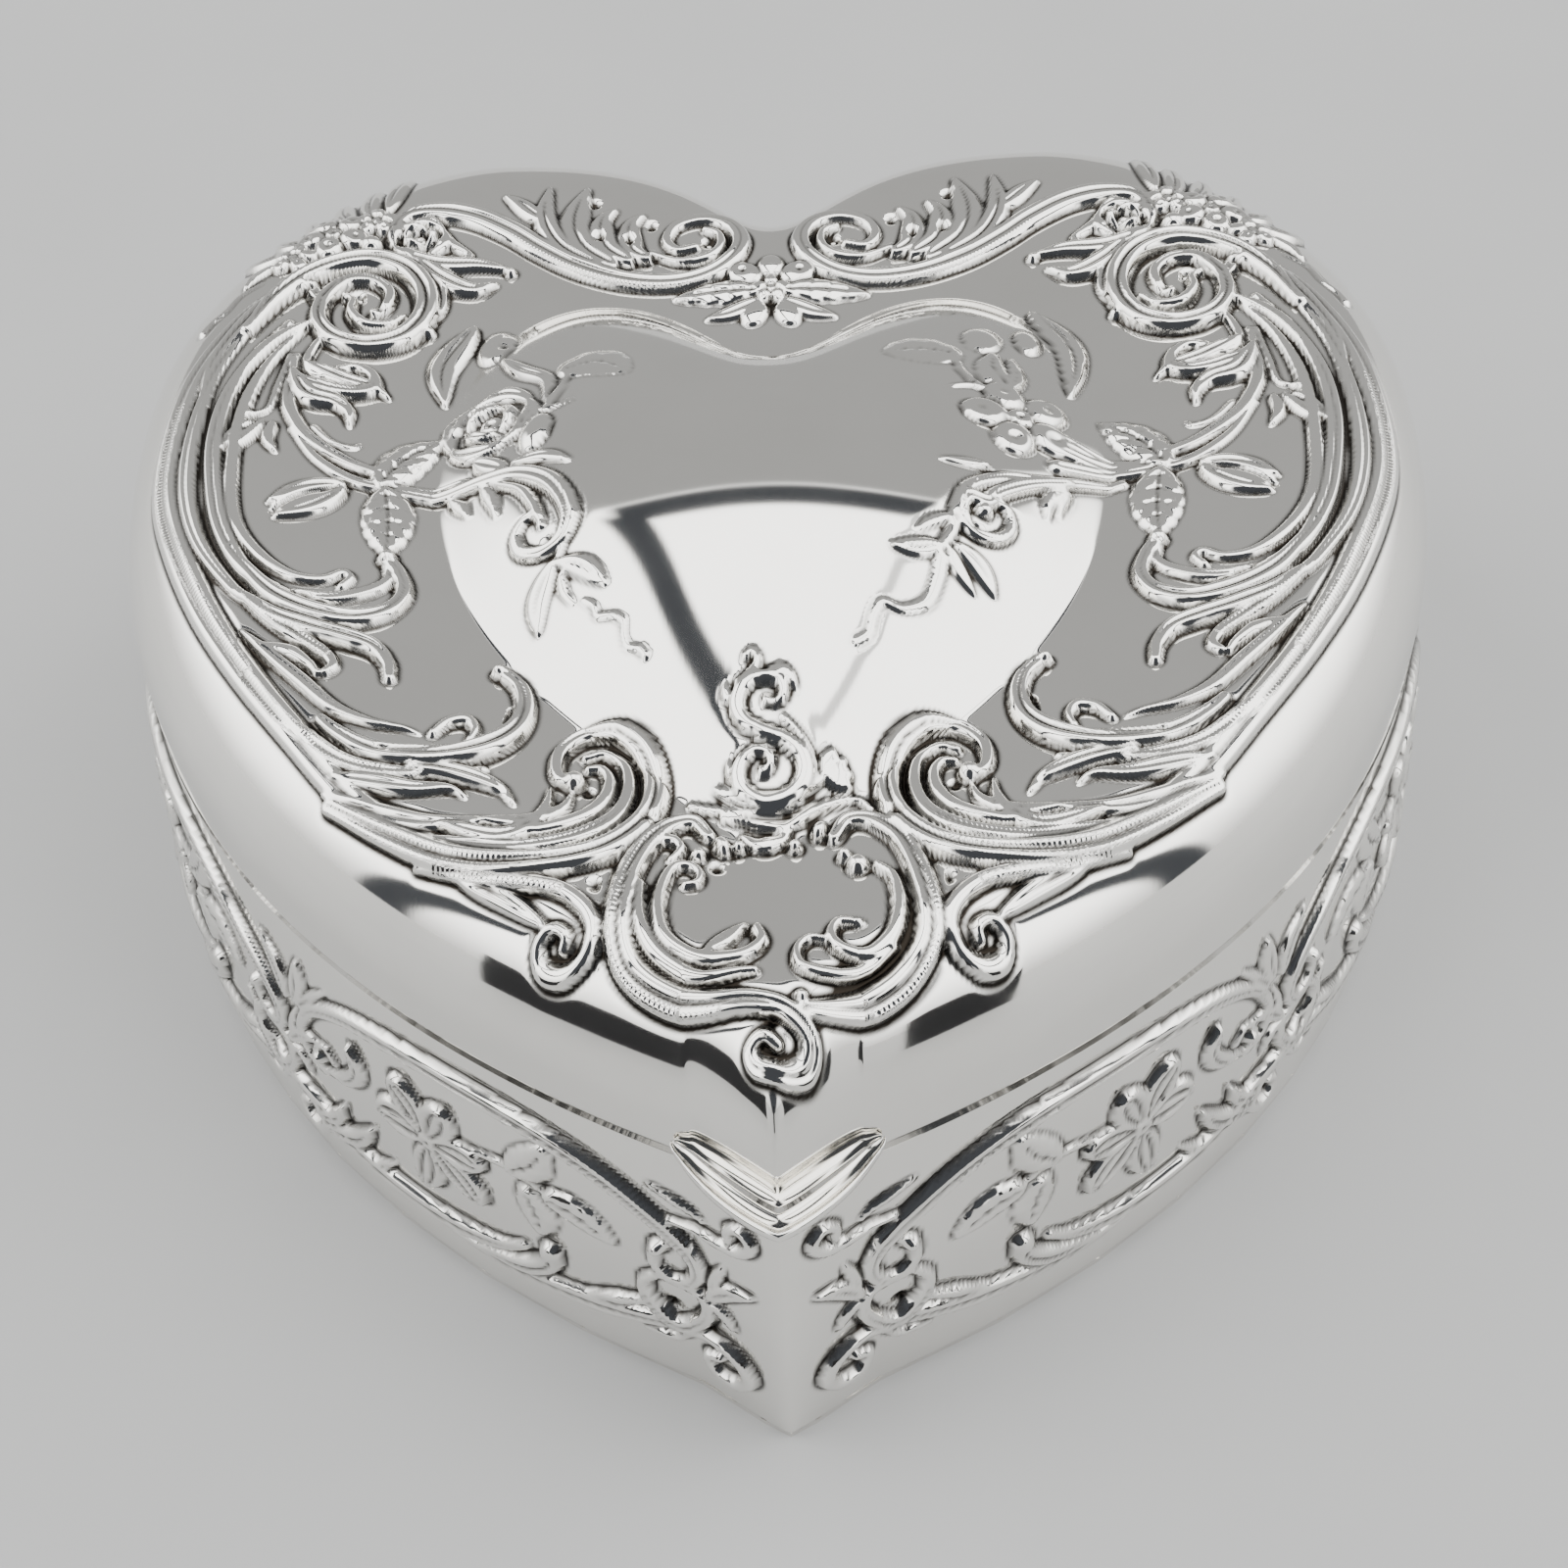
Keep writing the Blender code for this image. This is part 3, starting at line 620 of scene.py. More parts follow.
def cartouche(pen):
    """The blank shield over the tip, framed by two unlike scrolls; X is signed here."""
    pen.band([(-6.4, 32), (-8.2, 34), (-11.2, 32.6), (-13.6, 28.5), (-14.7, 24), (-15, 19), (-13.6, 15.2),
              (-10, 12.4), (-6, 10.9), (-2, 10.3), (1.5, 9.3), (3.5, 7.4), (3, 5.3), (1, 4.3),
              (-1.2, 4.9), (-2, 6.3), (-0.8, 7.2), (0.5, 6.4)], (1.6, 2.6, 3.0, 3.0, 2.8, 2.4, 1.8, 1.1),
             1.7)
    pen.chase([(-11.6, 32), (-14, 28), (-15.2, 23.6), (-15.4, 19), (-14, 15), (-10, 11.9), (-5, 10.2)],
              1.4)
    pen.band([(6.4, 31.4), (7.8, 33.7), (10.4, 33.5), (12.9, 31), (14.3, 27.6), (15.2, 23.8),
              (15.6, 20.7), (15.2, 17.4), (12.9, 14), (9.4, 11.5), (5.8, 10.2), (2.6, 9.6)],
             (1.6, 2.4, 2.8, 2.8, 2.6, 1.6), 1.7)
    pen.chase([(13.6, 30.4), (15, 26.6), (16, 22.6), (16.2, 18.4), (13.8, 14), (9.6, 10.9)], 1.2)
    pen.band([(-12.2, 29.5), (-11.3, 31), (-10, 31.2), (-9.2, 30), (-10.2, 28.4)], (0.8, 1.3, 0.7), 1.2)
    pen.band([(-13, 25), (-13, 21), (-12.1, 17.8), (-9.9, 15.2), (-6.4, 13.3), (-1.5, 13.6)],
             (0.8, 1.7, 1.7, 0.8), 1.5)
    pen.band([(-8.6, 24.8), (-7.4, 25.2), (-7.3, 26.7), (-8.6, 27.6), (-10, 27), (-10.9, 24.5),
              (-11.2, 21.5), (-10.6, 18.4), (-8.7, 16.3), (-6, 15), (-2.8, 15.4), (-1, 17.2), (-1.4, 19)],
             (0.8, 1.3, 1.6, 1.7, 1.2), 1.4)
    pen.leaf([(-6.6, 15.6), (-4.4, 17.6), (-2.4, 19.8)], 2.0, 1.3)
    pen.band([(8.7, 19.2), (6.6, 19.3), (5.9, 17.6), (6.9, 15.9), (9.5, 15.6), (11.8, 17.8), (12.6, 21),
              (12.2, 25), (10.6, 27)], (0.8, 1.4, 1.7, 1.5, 0.9), 1.5)
    pen.band([(5.2, 17.2), (3.8, 17.4), (2.6, 16.1), (3, 13.9), (5.8, 13.2), (9.2, 14.3), (11.8, 16.6)],
             (0.8, 1.4, 1.0), 1.4)
    pen.raise_dome((-5, 30.4), (0.95, 1.4), 1.8, turn=20)
    pen.raise_dome((4.9, 32.3), (0.9, 1.3), 1.8, turn=-20)
    for x, y, radius in ((-7.4, 29, 0.9), (-3.3, 30.3, 0.8), (8.7, 27.2, 1.2),
                         (7.4, 28.6, 0.8), (2.4, 30.3, 0.8), (2.8, 10.8, 0.7)):
        pen.bead((x, y), radius, 1.6)
    pen.band([(-2.8, 31.8), (-1.2, 30.6), (0.8, 31.2), (1.6, 32.4)], (1.0, 2.0, 1.0), 1.4, flutes=3)
    pen.band([(-5, 34.4), (-1.2, 33.3), (1.6, 33), (4.4, 35), (7.4, 36.5), (9.2, 36.5), (10.3, 35.2)],
             (0.7, 1.2, 0.7), 1.0)
    for x, y in ((-5.5, 27.9), (0.3, 8.6), (-12.4, 33.8), (12.6, 34)):
        pen.pit((x, y), 0.7, 0.7)


def centre_spray(pen):
    """The S-shaped spray that stands on the cartouche and runs up the cushion; X is signed here."""
    pen.band([(-0.5, 46.4), (0.7, 46.1), (1.5, 47), (1.1, 48.4), (-0.6, 49), (-2.5, 48.2), (-3.4, 46.2),
              (-2.7, 44.2), (-0.8, 42.9), (1.6, 41.9), (3.2, 40.3), (3.4, 38.2), (2, 36.3), (-0.8, 35.6),
              (-3, 37.2), (-3.1, 39.5), (-1.6, 40.9), (0, 40.3), (-0.1, 39), (-1, 38.7)],
             (0.8, 1.6, 1.8, 1.8, 1.6, 0.8), 1.3)
    pen.band([(-8.4, 36.4), (-4, 34.9), (-0.5, 34.5), (2.4, 35.8), (4.2, 38.4), (4.2, 40.6), (2.8, 43),
              (1.4, 44.4)], (0.7, 1.1, 0.6), 0.9)
    pen.band([(-3.2, 48.4), (-2, 49.5), (-1.2, 50.8), (-1.7, 52), (-2.6, 51.4)], (1.2, 0.9, 0.7), 0.9)
    pen.leaf([(-0.6, 49), (1.4, 49.6), (2.9, 47.6)], 1.8, 1.0)
    pen.leaf([(-3.2, 46.4), (-4.4, 47.2), (-4.6, 48.8)], 1.3, 0.9)
    pen.leaf([(-1.5, 35.5), (-4, 36.6), (-6.2, 37.8)], 1.6, 0.9)
    pen.leaf([(-2.6, 37), (-4, 38.6), (-4.4, 40.4)], 1.3, 0.9)
    pen.band([(2.5, 35.5), (4, 37.2), (5.3, 38.6)], (0.8, 0.9), 0.8)
    for k in range(4):
        angle = math.radians(-20 + 30 * k)
        pen.petal([(5.4, 38.8), (5.4 + 1.4 * math.cos(angle), 38.8 + 1.4 * math.sin(angle)),
                   (5.4 + 2.7 * math.cos(angle), 38.8 + 2.7 * math.sin(angle))], 1.7, 1.0)


def rose_spray(pen):
    """The rose on the left of the cushion with its leaves, scroll, sprig and tendril."""
    pen.leaf([(37.4, 118), (40.8, 110), (40, 102.6)], 4.4, 1.3)
    pen.raise_dome((34.4, 113.6), (2.4, 3.8), 1.1, turn=10)
    pen.pit((33.2, 113.0), 0.8, 0.6)
    pen.leaf([(33.2, 109.6), (30.2, 105), (26.8, 101), (26.6, 96)], 2.6, 0.9)
    pen.leaf([(25.2, 102), (20.8, 102.6), (16.6, 98.6)], 6.2, 0.55, teeth=6)
    pen.band([(24.3, 100.4), (25.4, 97.4), (26.6, 94.6)], (0.7, 1.1), 0.5)
    pen.band([(27, 94.4), (25, 94.6), (23.2, 95.2)], (0.9, 0.5), 0.5)
    rose(pen, (33.4, 95.2), 6.8, 1.0)
    pen.raise_dome((27.4, 90.2), (1.9, 3.4), 1.3, turn=12)
    pen.leaf([(34.6, 88.4), (32.2, 86.4), (30.2, 84.8)], 3.0, 1.1)
    pen.leaf([(33.6, 84.4), (32, 80.6), (31.2, 77.6)], 1.9, 0.8)
    pen.leaf([(37.6, 84.2), (36, 82), (34.8, 79.8)], 1.8, 0.7)
    pen.leaf([(30, 85.6), (26, 85.2), (22.6, 82.6)], 2.0, 0.8)
    pen.band([(44, 86.6), (38, 85), (33, 84.4), (29, 83.4), (25.4, 80.6), (23.2, 77), (22.2, 73.6),
              (23, 70.8), (25.4, 69.8), (27.8, 71), (28.6, 73.4), (27.6, 75.4), (25.9, 75.2),
              (25.6, 73.6)], (1.6, 2.0, 2.6, 2.4, 1.8, 1.0), 1.2)
    pen.band([(32, 83.4), (28.6, 80.6), (26.9, 77.6), (25.9, 75)], (0.8, 1.4, 1.2), 1.0)
    pen.pit((24.6, 71.4), 0.8, 0.8)
    pen.band([(22.3, 74), (22.7, 70.4), (23.6, 67.6)], (0.7, 0.9, 0.7), 0.7)
    pen.leaf([(23.8, 68), (25.6, 64), (25.4, 59.6)], 3.0, 0.8)
    pen.leaf([(23.4, 67.8), (20.4, 66), (17.6, 62.8)], 2.8, 0.8)
    pen.leaf([(23, 66.4), (22.6, 63.8), (21.2, 61.6)], 1.2, 0.6)
    pen.band([(20.4, 62), (19.2, 61), (18.6, 59.6), (17, 59.2), (15.8, 58.2), (15.7, 56.6), (15.2, 55.2),
              (13.9, 54.6), (13.2, 53.6)], (0.5, 0.8, 0.5, 0.8), 0.45)


def blossom_spray(pen):
    """The open blossom on the right of the cushion with its leaves, fluted stem, scroll and tendril."""
    pen.leaf([(32.5, 118), (37, 110), (36, 99)], 4.2, 1.2)
    pen.raise_dome((31.6, 109.6), (1.7, 3.2), 1.0)
    pen.raise_dome((25.8, 107.6), (2.4, 3.2), 0.8, turn=-10)
    pen.leaf([(22.4, 102.4), (18.2, 102.6), (13.8, 101)], 6.4, 0.55, teeth=6)
    pen.band([(22.3, 101.2), (23, 98.4), (25, 96)], (0.7, 1.1), 0.5)
    pen.band([(24.8, 95.8), (23.4, 95.8), (21.6, 95)], (0.8, 0.5), 0.5)
    pen.leaf([(28.4, 96.4), (26.6, 100), (27, 104.6)], 4.2, 0.9)
    pen.leaf([(28.6, 96.4), (29.4, 100), (29, 104.2)], 2.4, 0.9)
    pen.flower((29.2, 91), 6.8, 1.3, petals=5, turn=112)
    for y0, y1 in ((90.0, 88.9), (87.6, 87.2), (84.4, 85.4)):
        pen.band([(33.2, y0), (36.6, y1), (40, y1 * 0.5 + 43.8), (44, 88.2), (48, 88.4)], (2.2, 1.8, 1.2),
                 0.9)
    pen.band([(41, 85), (36, 83), (31, 80.8), (26.6, 79.4), (22.6, 76.6), (20.8, 73), (20.2, 69.4),
              (18.4, 66.2)], (1.2, 1.9, 1.6, 1.2), 0.9, flutes=2)
    pen.band([(34, 82), (29.4, 79.4), (25.8, 76.6), (24.2, 74.6), (22, 74.6), (21.2, 72), (22.6, 69.8),
              (25, 69.8), (26.8, 71.8), (26.6, 74.4), (25, 75.2)], (1.4, 2.0, 2.0, 1.6, 1.0), 1.2)
    pen.bead((23.9, 73.2), 1.0, 1.3)
    pen.pit((22.9, 70.8), 0.7, 0.7)
    pen.leaf([(34, 81.4), (31.8, 78.4), (31.2, 75)], 1.9, 0.8)
    pen.leaf([(34.4, 80.8), (33.2, 78.6), (32.6, 76.2)], 1.3, 0.7)
    pen.leaf([(25, 80.6), (21.8, 80.2), (19.2, 79.8)], 1.5, 0.7)
    pen.leaf([(20.6, 71.6), (17.8, 69.8), (16.2, 68.2)], 1.4, 0.7)
    pen.leaf([(18.8, 67), (16, 66), (13.2, 65.8)], 2.6, 0.8)
    pen.leaf([(20.4, 67.6), (23, 65.6), (24.6, 62.4)], 2.8, 0.8)
    pen.leaf([(19.6, 67), (20.6, 64.6), (22.4, 61.8)], 1.8, 0.7)
    pen.band([(18.8, 65.4), (18.3, 62.8), (17, 59.8), (14.4, 58.4), (12.2, 58.8), (11.2, 57.2),
              (10.6, 55), (9.2, 53.8)], (1.6, 1.4, 0.8, 0.9), 0.5)


def lid_relief():
    lid = Relief((-86, -4), (86, 168))
    for side in (-1, 1):
        pen = Pen(lid, side)
        for motif in (side_band, shoulder_lobes, horn_leaf, lower_volute, top_volute, tulip_sprig,
                      rose_leaves, top_scroll, lobe_flowers, palmette):
            motif(pen)
    signed = Pen(lid, 1)
    cartouche(signed)
    centre_spray(signed)
    rose_spray(Pen(lid, -1))
    blossom_spray(Pen(lid, 1))
    lid.finish()
    return lid


# ---------------------------------------------------------------- ornament of the wall

PANEL_START = 8.0            # along the wall from the front corner, in millimetres
PANEL_LENGTH = 60.4


PANEL_PETALS = (             # angle in degrees, reach, width
    (112, 6.6, 5.4), (168, 7.6, 4.6), (214, 8.6, 5.0), (276, 8.0, 5.0), (6, 6.6, 5.6), (58, 8.0, 5.0),
)


def panel_frame(wall, at):
    """The scrolled frame of a panel, with the leaves and flutes that grow from it."""
    wall.band(at([(60.6, 23.6), (62.4, 25.2), (64.2, 23), (62.4, 20.8), (65.6, 21.6), (66.6, 25),
                  (64.8, 29), (61.6, 32), (56.6, 34.4), (50, 35.7), (42, 36.3), (34, 36.1), (27, 35.1),
                  (21, 33.2), (15.6, 30.2), (11.6, 27), (10.2, 24), (11.2, 21.4), (13.6, 20.8),
                  (15.6, 22.6), (15.4, 25.6), (13.8, 26.6)]),
              (0.9, 1.4, 2.2, 2.8, 3.0, 3.0, 3.0, 2.2, 1.2), 1.4)
    wall.chase(at([(50, 35.2), (42, 35.8), (34, 35.6), (27, 34.6), (21, 32.6)]), 1.0)
    wall.leaf(at([(57.4, 30), (56.2, 26.4), (58.4, 23), (62.4, 21.2)]), 3.0, 1.3)
    wall.bead(at((63.2, 23)), 1.1, 1.6)
    wall.bead(at((15.0, 25.6)), 1.1, 1.8)
    wall.band(at([(14.6, 21), (16.8, 18.4), (16, 15.2), (13.2, 12.8), (10.6, 14.2), (9, 17.2),
                  (9.4, 19.8), (11.8, 20.4)]), (1.0, 2.2, 2.4, 2.0, 1.2), 1.5)
    wall.pit(at((13.8, 15.4)), 0.9, 0.8)
    wall.band(at([(12.6, 12.6), (20, 10.4), (28, 8.8), (37, 7.4), (44, 7.2)]), (2.2, 3.6, 2.6, 1.0), 1.3)
    wall.band(at([(16.4, 14.8), (20, 12.9), (24.4, 10.8)]), (1.2, 1.8, 0.8), 1.3)
    wall.bead(at((29, 15.0)), 1.6, 1.6)
    wall.band(at([(28.8, 15.4), (29.6, 12.4), (33.4, 9.6), (39, 8)]), (3.0, 3.0, 1.2), 1.5)
    wall.band(at([(32.6, 13.6), (36, 11.4), (42, 9.8), (50, 9.2), (58, 9.8), (64.6, 12), (71, 13.2),
                  (76, 15.6), (79, 20.4)]), (1.4, 3.2, 3.4, 3.4, 3.0, 1.4), 1.4)
    wall.leaf(at([(64, 9.6), (58.4, 12.2), (55, 17)]), 3.4, 1.7)
    wall.leaf(at([(66, 10.4), (62, 12.8), (60.2, 16.6)]), 2.6, 1.7)
    wall.leaf(at([(58, 9), (54.4, 10.8), (52, 13)]), 1.8, 1.2)
    wall.band(at([(17, 9.4), (13, 10), (11.2, 12.2), (8.4, 13.2), (5.4, 12), (4.2, 9.2), (5.6, 6.8),
                  (8.2, 6.8), (9.3, 8.8), (7.8, 9.8)]), (1.0, 1.6, 1.9, 1.9, 1.2), 1.4)
    wall.leaf(at([(9, 20.6), (6.4, 23.6), (3.2, 25.2)]), 2.8, 1.2)
    wall.leaf(at([(8.6, 21.6), (8, 24.6), (7, 27.4)]), 1.8, 1.0)
    wall.leaf(at([(8.6, 20), (7, 18.6), (5.8, 16.6)]), 1.8, 1.0)


def panel_blossom(wall, at):
    """The open blossom of a panel, on a stem with three toothed leaves."""
    for angle, reach, width in PANEL_PETALS:
        ux, uy = math.cos(math.radians(angle)), math.sin(math.radians(angle))
        line = [(45.4 + ux * reach * f, 23.2 + uy * reach * f) for f in (0.2, 0.6, 1.0)]
        wall.petal(at(line), width, 1.5, rays=3)
    wall.bead(at((45.4, 23.2)), 1.5, 1.3)
    wall.pit(at((45.4, 23.0)), 0.6, 0.6)
    wall.leaf(at([(33.6, 27), (30.6, 29.6), (28.6, 33.4)]), 5.4, 1.2, teeth=6)
    wall.leaf(at([(29, 25.6), (24.6, 24.8), (20.2, 22.4)]), 5.0, 1.2, teeth=6)
    wall.leaf(at([(31.4, 25), (30.2, 21), (30.2, 17.6)]), 5.6, 1.2, teeth=6)
    wall.band(at([(43, 25), (38, 26.4), (34, 27), (30, 26), (28, 25)]), (0.8, 1.1, 0.7), 0.7)


def panel_plume(wall, at):
    """Three leaves that spring up between two panels."""
    wall.leaf(at([(66.8, 29.4), (66.2, 33), (66, 36.6)]), 3.4, 1.1)
    wall.leaf(at([(66.6, 28.6), (63.6, 32.4), (61, 35.2)]), 1.8, 0.9)
    wall.leaf(at([(68.4, 28.6), (70.6, 32.6), (73.8, 35.6)]), 3.2, 1.1)


def wall_panel(wall, start):
    """One panel of the wall: its frame, its blossom and the plume beside it."""
    def at(points):
        if np.isscalar(points[0]):
            return (points[0] - PANEL_START + start, points[1])
        return [(s - PANEL_START + start, z) for s, z in points]
    panel_frame(wall, at)
    panel_blossom(wall, at)
    panel_plume(wall, at)


def wall_relief(length):
    wall = Relief((-4, 0), (length + 4, SEAM_HEIGHT))
    wall.band([(13.4, 30.8), (8, 31), (4.6, 32), (3.4, 34), (4.8, 35.2), (6.4, 34), (6.2, 32.8)],
              (0.9, 1.6, 1.2), 1.1)
    wall.band([(9.6, 32.6), (12, 33.7), (16, 35)], (0.6, 1.2, 0.6), 0.8)
    start = PANEL_START
    while start + PANEL_LENGTH < length:
        wall_panel(wall, start)
        start += PANEL_LENGTH
    wall.finish()
    return wall


# ---------------------------------------------------------------- meshes

def stitched(first, second):
    """Faces between two rings of vertex numbers, one of which may have half as many."""
    count = len(first)
    if len(second) > count:
        return [face[::-1] for face in stitched(second, first)]
    if len(second) == count:
        return [(first[i], first[(i + 1) % count], second[(i + 1) % count], second[i]) for i in range(count)]
    faces = []
    for i in range(len(second)):
        a, b, c = first[2 * i], first[2 * i + 1], first[(2 * i + 2) % count]
        d, e = second[i], second[(i + 1) % len(second)]
        faces += [(a, b, d), (b, e, d), (b, c, e)]
    return faces


def shell_object(name, rings, layers, closed):
    """A mesh through rings of points in metres. closed joins the last ring to the first.

    layers are per-vertex values, one list of arrays for each name; an open end of a shell that
    isn't closed is filled with one face.
    """
    mesh = bpy.data.meshes.new(name)
    numbers, start = [], 0
    for ring in rings:
        numbers.append(list(range(start, start + len(ring))))
        start += len(ring)
    faces = []
    for first, second in zip(numbers, numbers[1:] + (numbers[:1] if closed else [])):
        faces += stitched(first, second)
    if not closed:
        faces += [tuple(numbers[0][::-1]), tuple(numbers[-1])]
    mesh.from_pydata(np.vstack(rings).tolist(), [], faces)
    for layer, values in layers.items():
        attribute = mesh.attributes.new(layer, "FLOAT", "POINT")
        attribute.data.foreach_set("value", np.concatenate(values).astype(np.float32))
    mesh.polygons.foreach_set("use_smooth", np.ones(len(mesh.polygons), bool))
    mesh.update()
    obj = bpy.data.objects.new(name, mesh)
    bpy.context.scene.collection.objects.link(obj)
    return obj


def raised_rings(rings, relief, plans):
    """Rings lifted along their normals by a relief, with the layers that its material reads."""
    normals = ring_normals(rings)
    lifted, layers = [], {"crevice": [], "chased": [], "along": []}
    for ring, normal, plan in zip(rings, normals, plans):
        height = relief.sample(relief.height, plan)
        lifted.append(placed(ring + normal * height[:, None]))
        for layer in layers:
            layers[layer].append(relief.sample(getattr(relief, layer), plan))
    return lifted, layers


def extended(layers, rings):
    """Plain values for rings that carry no relief."""
    for ring in rings:
        for values in layers.values():
            values.append(np.zeros(len(ring)))


def thinned(rings, layers, start):
    """Half the columns from ring number start on."""
    for i in range(start, len(rings)):
        rings[i] = rings[i][::2]
        for values in layers.values():
            values[i] = values[i][::2]


def lid_piece():
    rim, crease = heart_outline(RIM_HEART), heart_outline(CREASE_HEART)
    band = [at_height(rim, z) for z in np.linspace(SEAM_HEIGHT, SEAM_HEIGHT + LID_RIM_HEIGHT, RIM_RINGS)]
    outside = band[:-1] + lid_rings(rim, crease, 0.0, LID_RINGS)
    rings, layers = raised_rings(outside, lid_relief(), [ring[:, :2] for ring in outside])
    thinned(rings, layers, len(outside) - THINNED_RINGS)
    closing = inner_lid_rings(SHEET)
    rings = [placed(ring) for ring in closing] + rings
    for values in layers.values():
        values[:0] = [np.zeros(len(ring)) for ring in closing]
    return shell_object("heart_lid", rings, layers, closed=False)


def inner_lid_rings(inset):
    """The inside of the lid from its top down to the rim."""
    rim = heart_outline(grown(RIM_HEART, -inset))[::2]
    crease = heart_outline(grown(CREASE_HEART, -inset / 2))[::2]
    rings = lid_rings(rim, crease, inset, (12, 8, 16))
    return rings[::-1] + [at_height(rim, SEAM_HEIGHT)]


def wall_piece():
    lowest = BASE_TOP + 0.02
    top = SEAM_HEIGHT - JOINT_GAP
    heights = np.linspace(lowest, top, WALL_RINGS)
    outside = [at_height(heart_outline(grown(RIM_HEART, wall_reach(z))), z) for z in heights]
    lengths = arc_lengths(heart_outline(RIM_HEART))
    plans = [np.column_stack([lengths, np.full(len(lengths), z)]) for z in heights]
    rings, layers = raised_rings(outside, wall_relief(lengths.max()), plans)
    inner = [at_height(heart_outline(grown(RIM_HEART, wall_reach(z) - SHEET)), z)
             for z in np.linspace(top, lowest, 6)]
    extended(layers, inner)
    return shell_object("chased_wall", rings + [placed(ring) for ring in inner], layers, closed=True)


def thumb_lift_piece():
    """A crescent trough round the tip, turned up at its edge and drawn out to a horn each side."""
    outline = heart_outline(RIM_HEART)
    stations = np.linspace(-LIFT_HALF_SPAN, LIFT_HALF_SPAN, LIFT_STATIONS)
    count = len(outline) // 2 + 1
    run = arc_lengths(outline)[:count]
    sections = []
    for along in stations:
        x = math.copysign(np.interp(abs(along), run, outline[:count, 0]), along)
        y = np.interp(abs(along), run, outline[:count, 1])
        share = abs(along) / LIFT_HALF_SPAN
        reach = LIFT_REACH * (1 - share ** 2) ** 0.62 + 0.3
        outward = Vector((x * 0.55, -9.0 + share * 4, 0)).normalized()
        rise = LIFT_HORN_RISE * share ** 3
        slim = 1 - 0.6 * share ** 3
        sections.append(np.array([(x + outward.x * out * reach, y + outward.y * out * reach,
                                   SEAM_HEIGHT + up * slim + rise) for out, up in LIFT_SECTION]))
    obj = shell_object("thumb_lift_lip", [placed(points) for points in sections], {}, closed=False)
    smooth = obj.modifiers.new("smooth", "SUBSURF")
    smooth.levels = smooth.render_levels = 2
    return obj


# ---------------------------------------------------------------- linings

def gathered(rings, folds, depth):
    """Rings pushed in and out along their normals into soft uneven folds, flat at the first ring."""
    turn = np.linspace(0, 2 * math.pi, len(rings[0]), endpoint=False)
    wave = np.sin(folds * turn + 1.4 * np.sin(9 * turn)) + 0.3 * np.sin(2.3 * folds * turn)
    sway = np.linspace(0, 1.2, len(rings))
    pushed = []
    for ring, normal, lean in zip(rings, ring_normals(rings), sway):
        fold = depth * math.sin(math.pi / 2 * min(1, 5 * lean)) * np.roll(wave, int(6 * lean))
        pushed.append(ring + normal * fold[:, None])
    return pushed


def floor_cushion():
    """A thin crowned pad on the floor of the box, with a seam all round."""
    edge = heart_outline(grown(RIM_HEART, PAD_REACH))[::2]
    bottom = BASE_TOP + JOINT_GAP
    rings = [at_height(PAD_MIDDLE + (edge - PAD_MIDDLE) * share, bottom) for share in (0.02, 0.5, 0.98)]
    for turn in np.linspace(0, math.pi, 9)[1:]:
        outwards = PAD_MIDDLE + (edge - PAD_MIDDLE) * (0.98 + 0.02 * math.sin(turn))
        rings.append(at_height(outwards, bottom + PAD_SIDE * (0.5 - 0.5 * math.cos(turn))))
    for share in np.linspace(0, 0.99, 60)[1:]:
        seam = 0.5 * math.exp(-((share - 0.09) / 0.015) ** 2)
        height = bottom + PAD_SIDE + PAD_CROWN * (1 - (1 - share) ** 4) - seam
        rings.append(at_height(PAD_MIDDLE + (edge - PAD_MIDDLE) * 0.98 * (1 - share), height))
    return shell_object("floor_cushion", [placed(ring) for ring in rings], {}, closed=False)


def wall_padding():
    """The gathered lining of the wall, rolled over at its upper edge."""
    low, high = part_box("wall_lining")
    heights = np.linspace(low.z / MM, high.z / MM - 0.9, 24)

    def ring(z, inwards):
        reach = min(wall_reach(z) - SHEET - 0.5, UNDER_BEZEL) - inwards
        return at_height(heart_outline(grown(RIM_HEART, reach))[::2], z)
    outside = [ring(z, 0.0) for z in heights]
    inside = gathered([ring(z, LINING) for z in heights], FOLDS, FOLD_DEPTH)[::-1]
    rolled = []
    for turn in np.linspace(0, math.pi, 9)[1:-1]:
        share = 0.5 - 0.5 * math.cos(turn)
        point = outside[-1] * (1 - share) + inside[0] * share
        rolled.append(point + (0.0, 0.0, 0.85 * math.sin(turn)))
    rings = outside + rolled + inside
    return shell_object("wall_padding", [placed(ring) for ring in rings], {}, closed=True)


def lid_padding():
    """The gathered lining of the lid, which follows the lid's shape a little way inside it."""
    def skin(inset):
        rim = heart_outline(grown(RIM_HEART, -inset))[::2]
        crease = heart_outline(grown(CREASE_HEART, -inset / 2))[::2]
        return lid_rings(rim, crease, inset, (16, 12, 24))
    outside = skin(SHEET + 0.7)
    inside = gathered(skin(SHEET + 0.6 + LINING), FOLDS, FOLD_DEPTH)
    return shell_object("lid_padding", [placed(ring) for ring in outside[::-1] + inside], {}, closed=False)


# ---------------------------------------------------------------- materials

def node(tree, kind, **inputs):
    made = tree.nodes.new(kind)
    for name, value in inputs.items():
        socket = made.inputs[name.replace("_", " ")]
        if isinstance(value, bpy.types.NodeSocket):
            tree.links.new(value, socket)
        else:
            socket.default_value = value
    return made


def blank(name):
    material = bpy.data.materials.new(name)
    material.use_nodes = True
    tree = material.node_tree
    return material, tree, tree.nodes["Principled BSDF"]


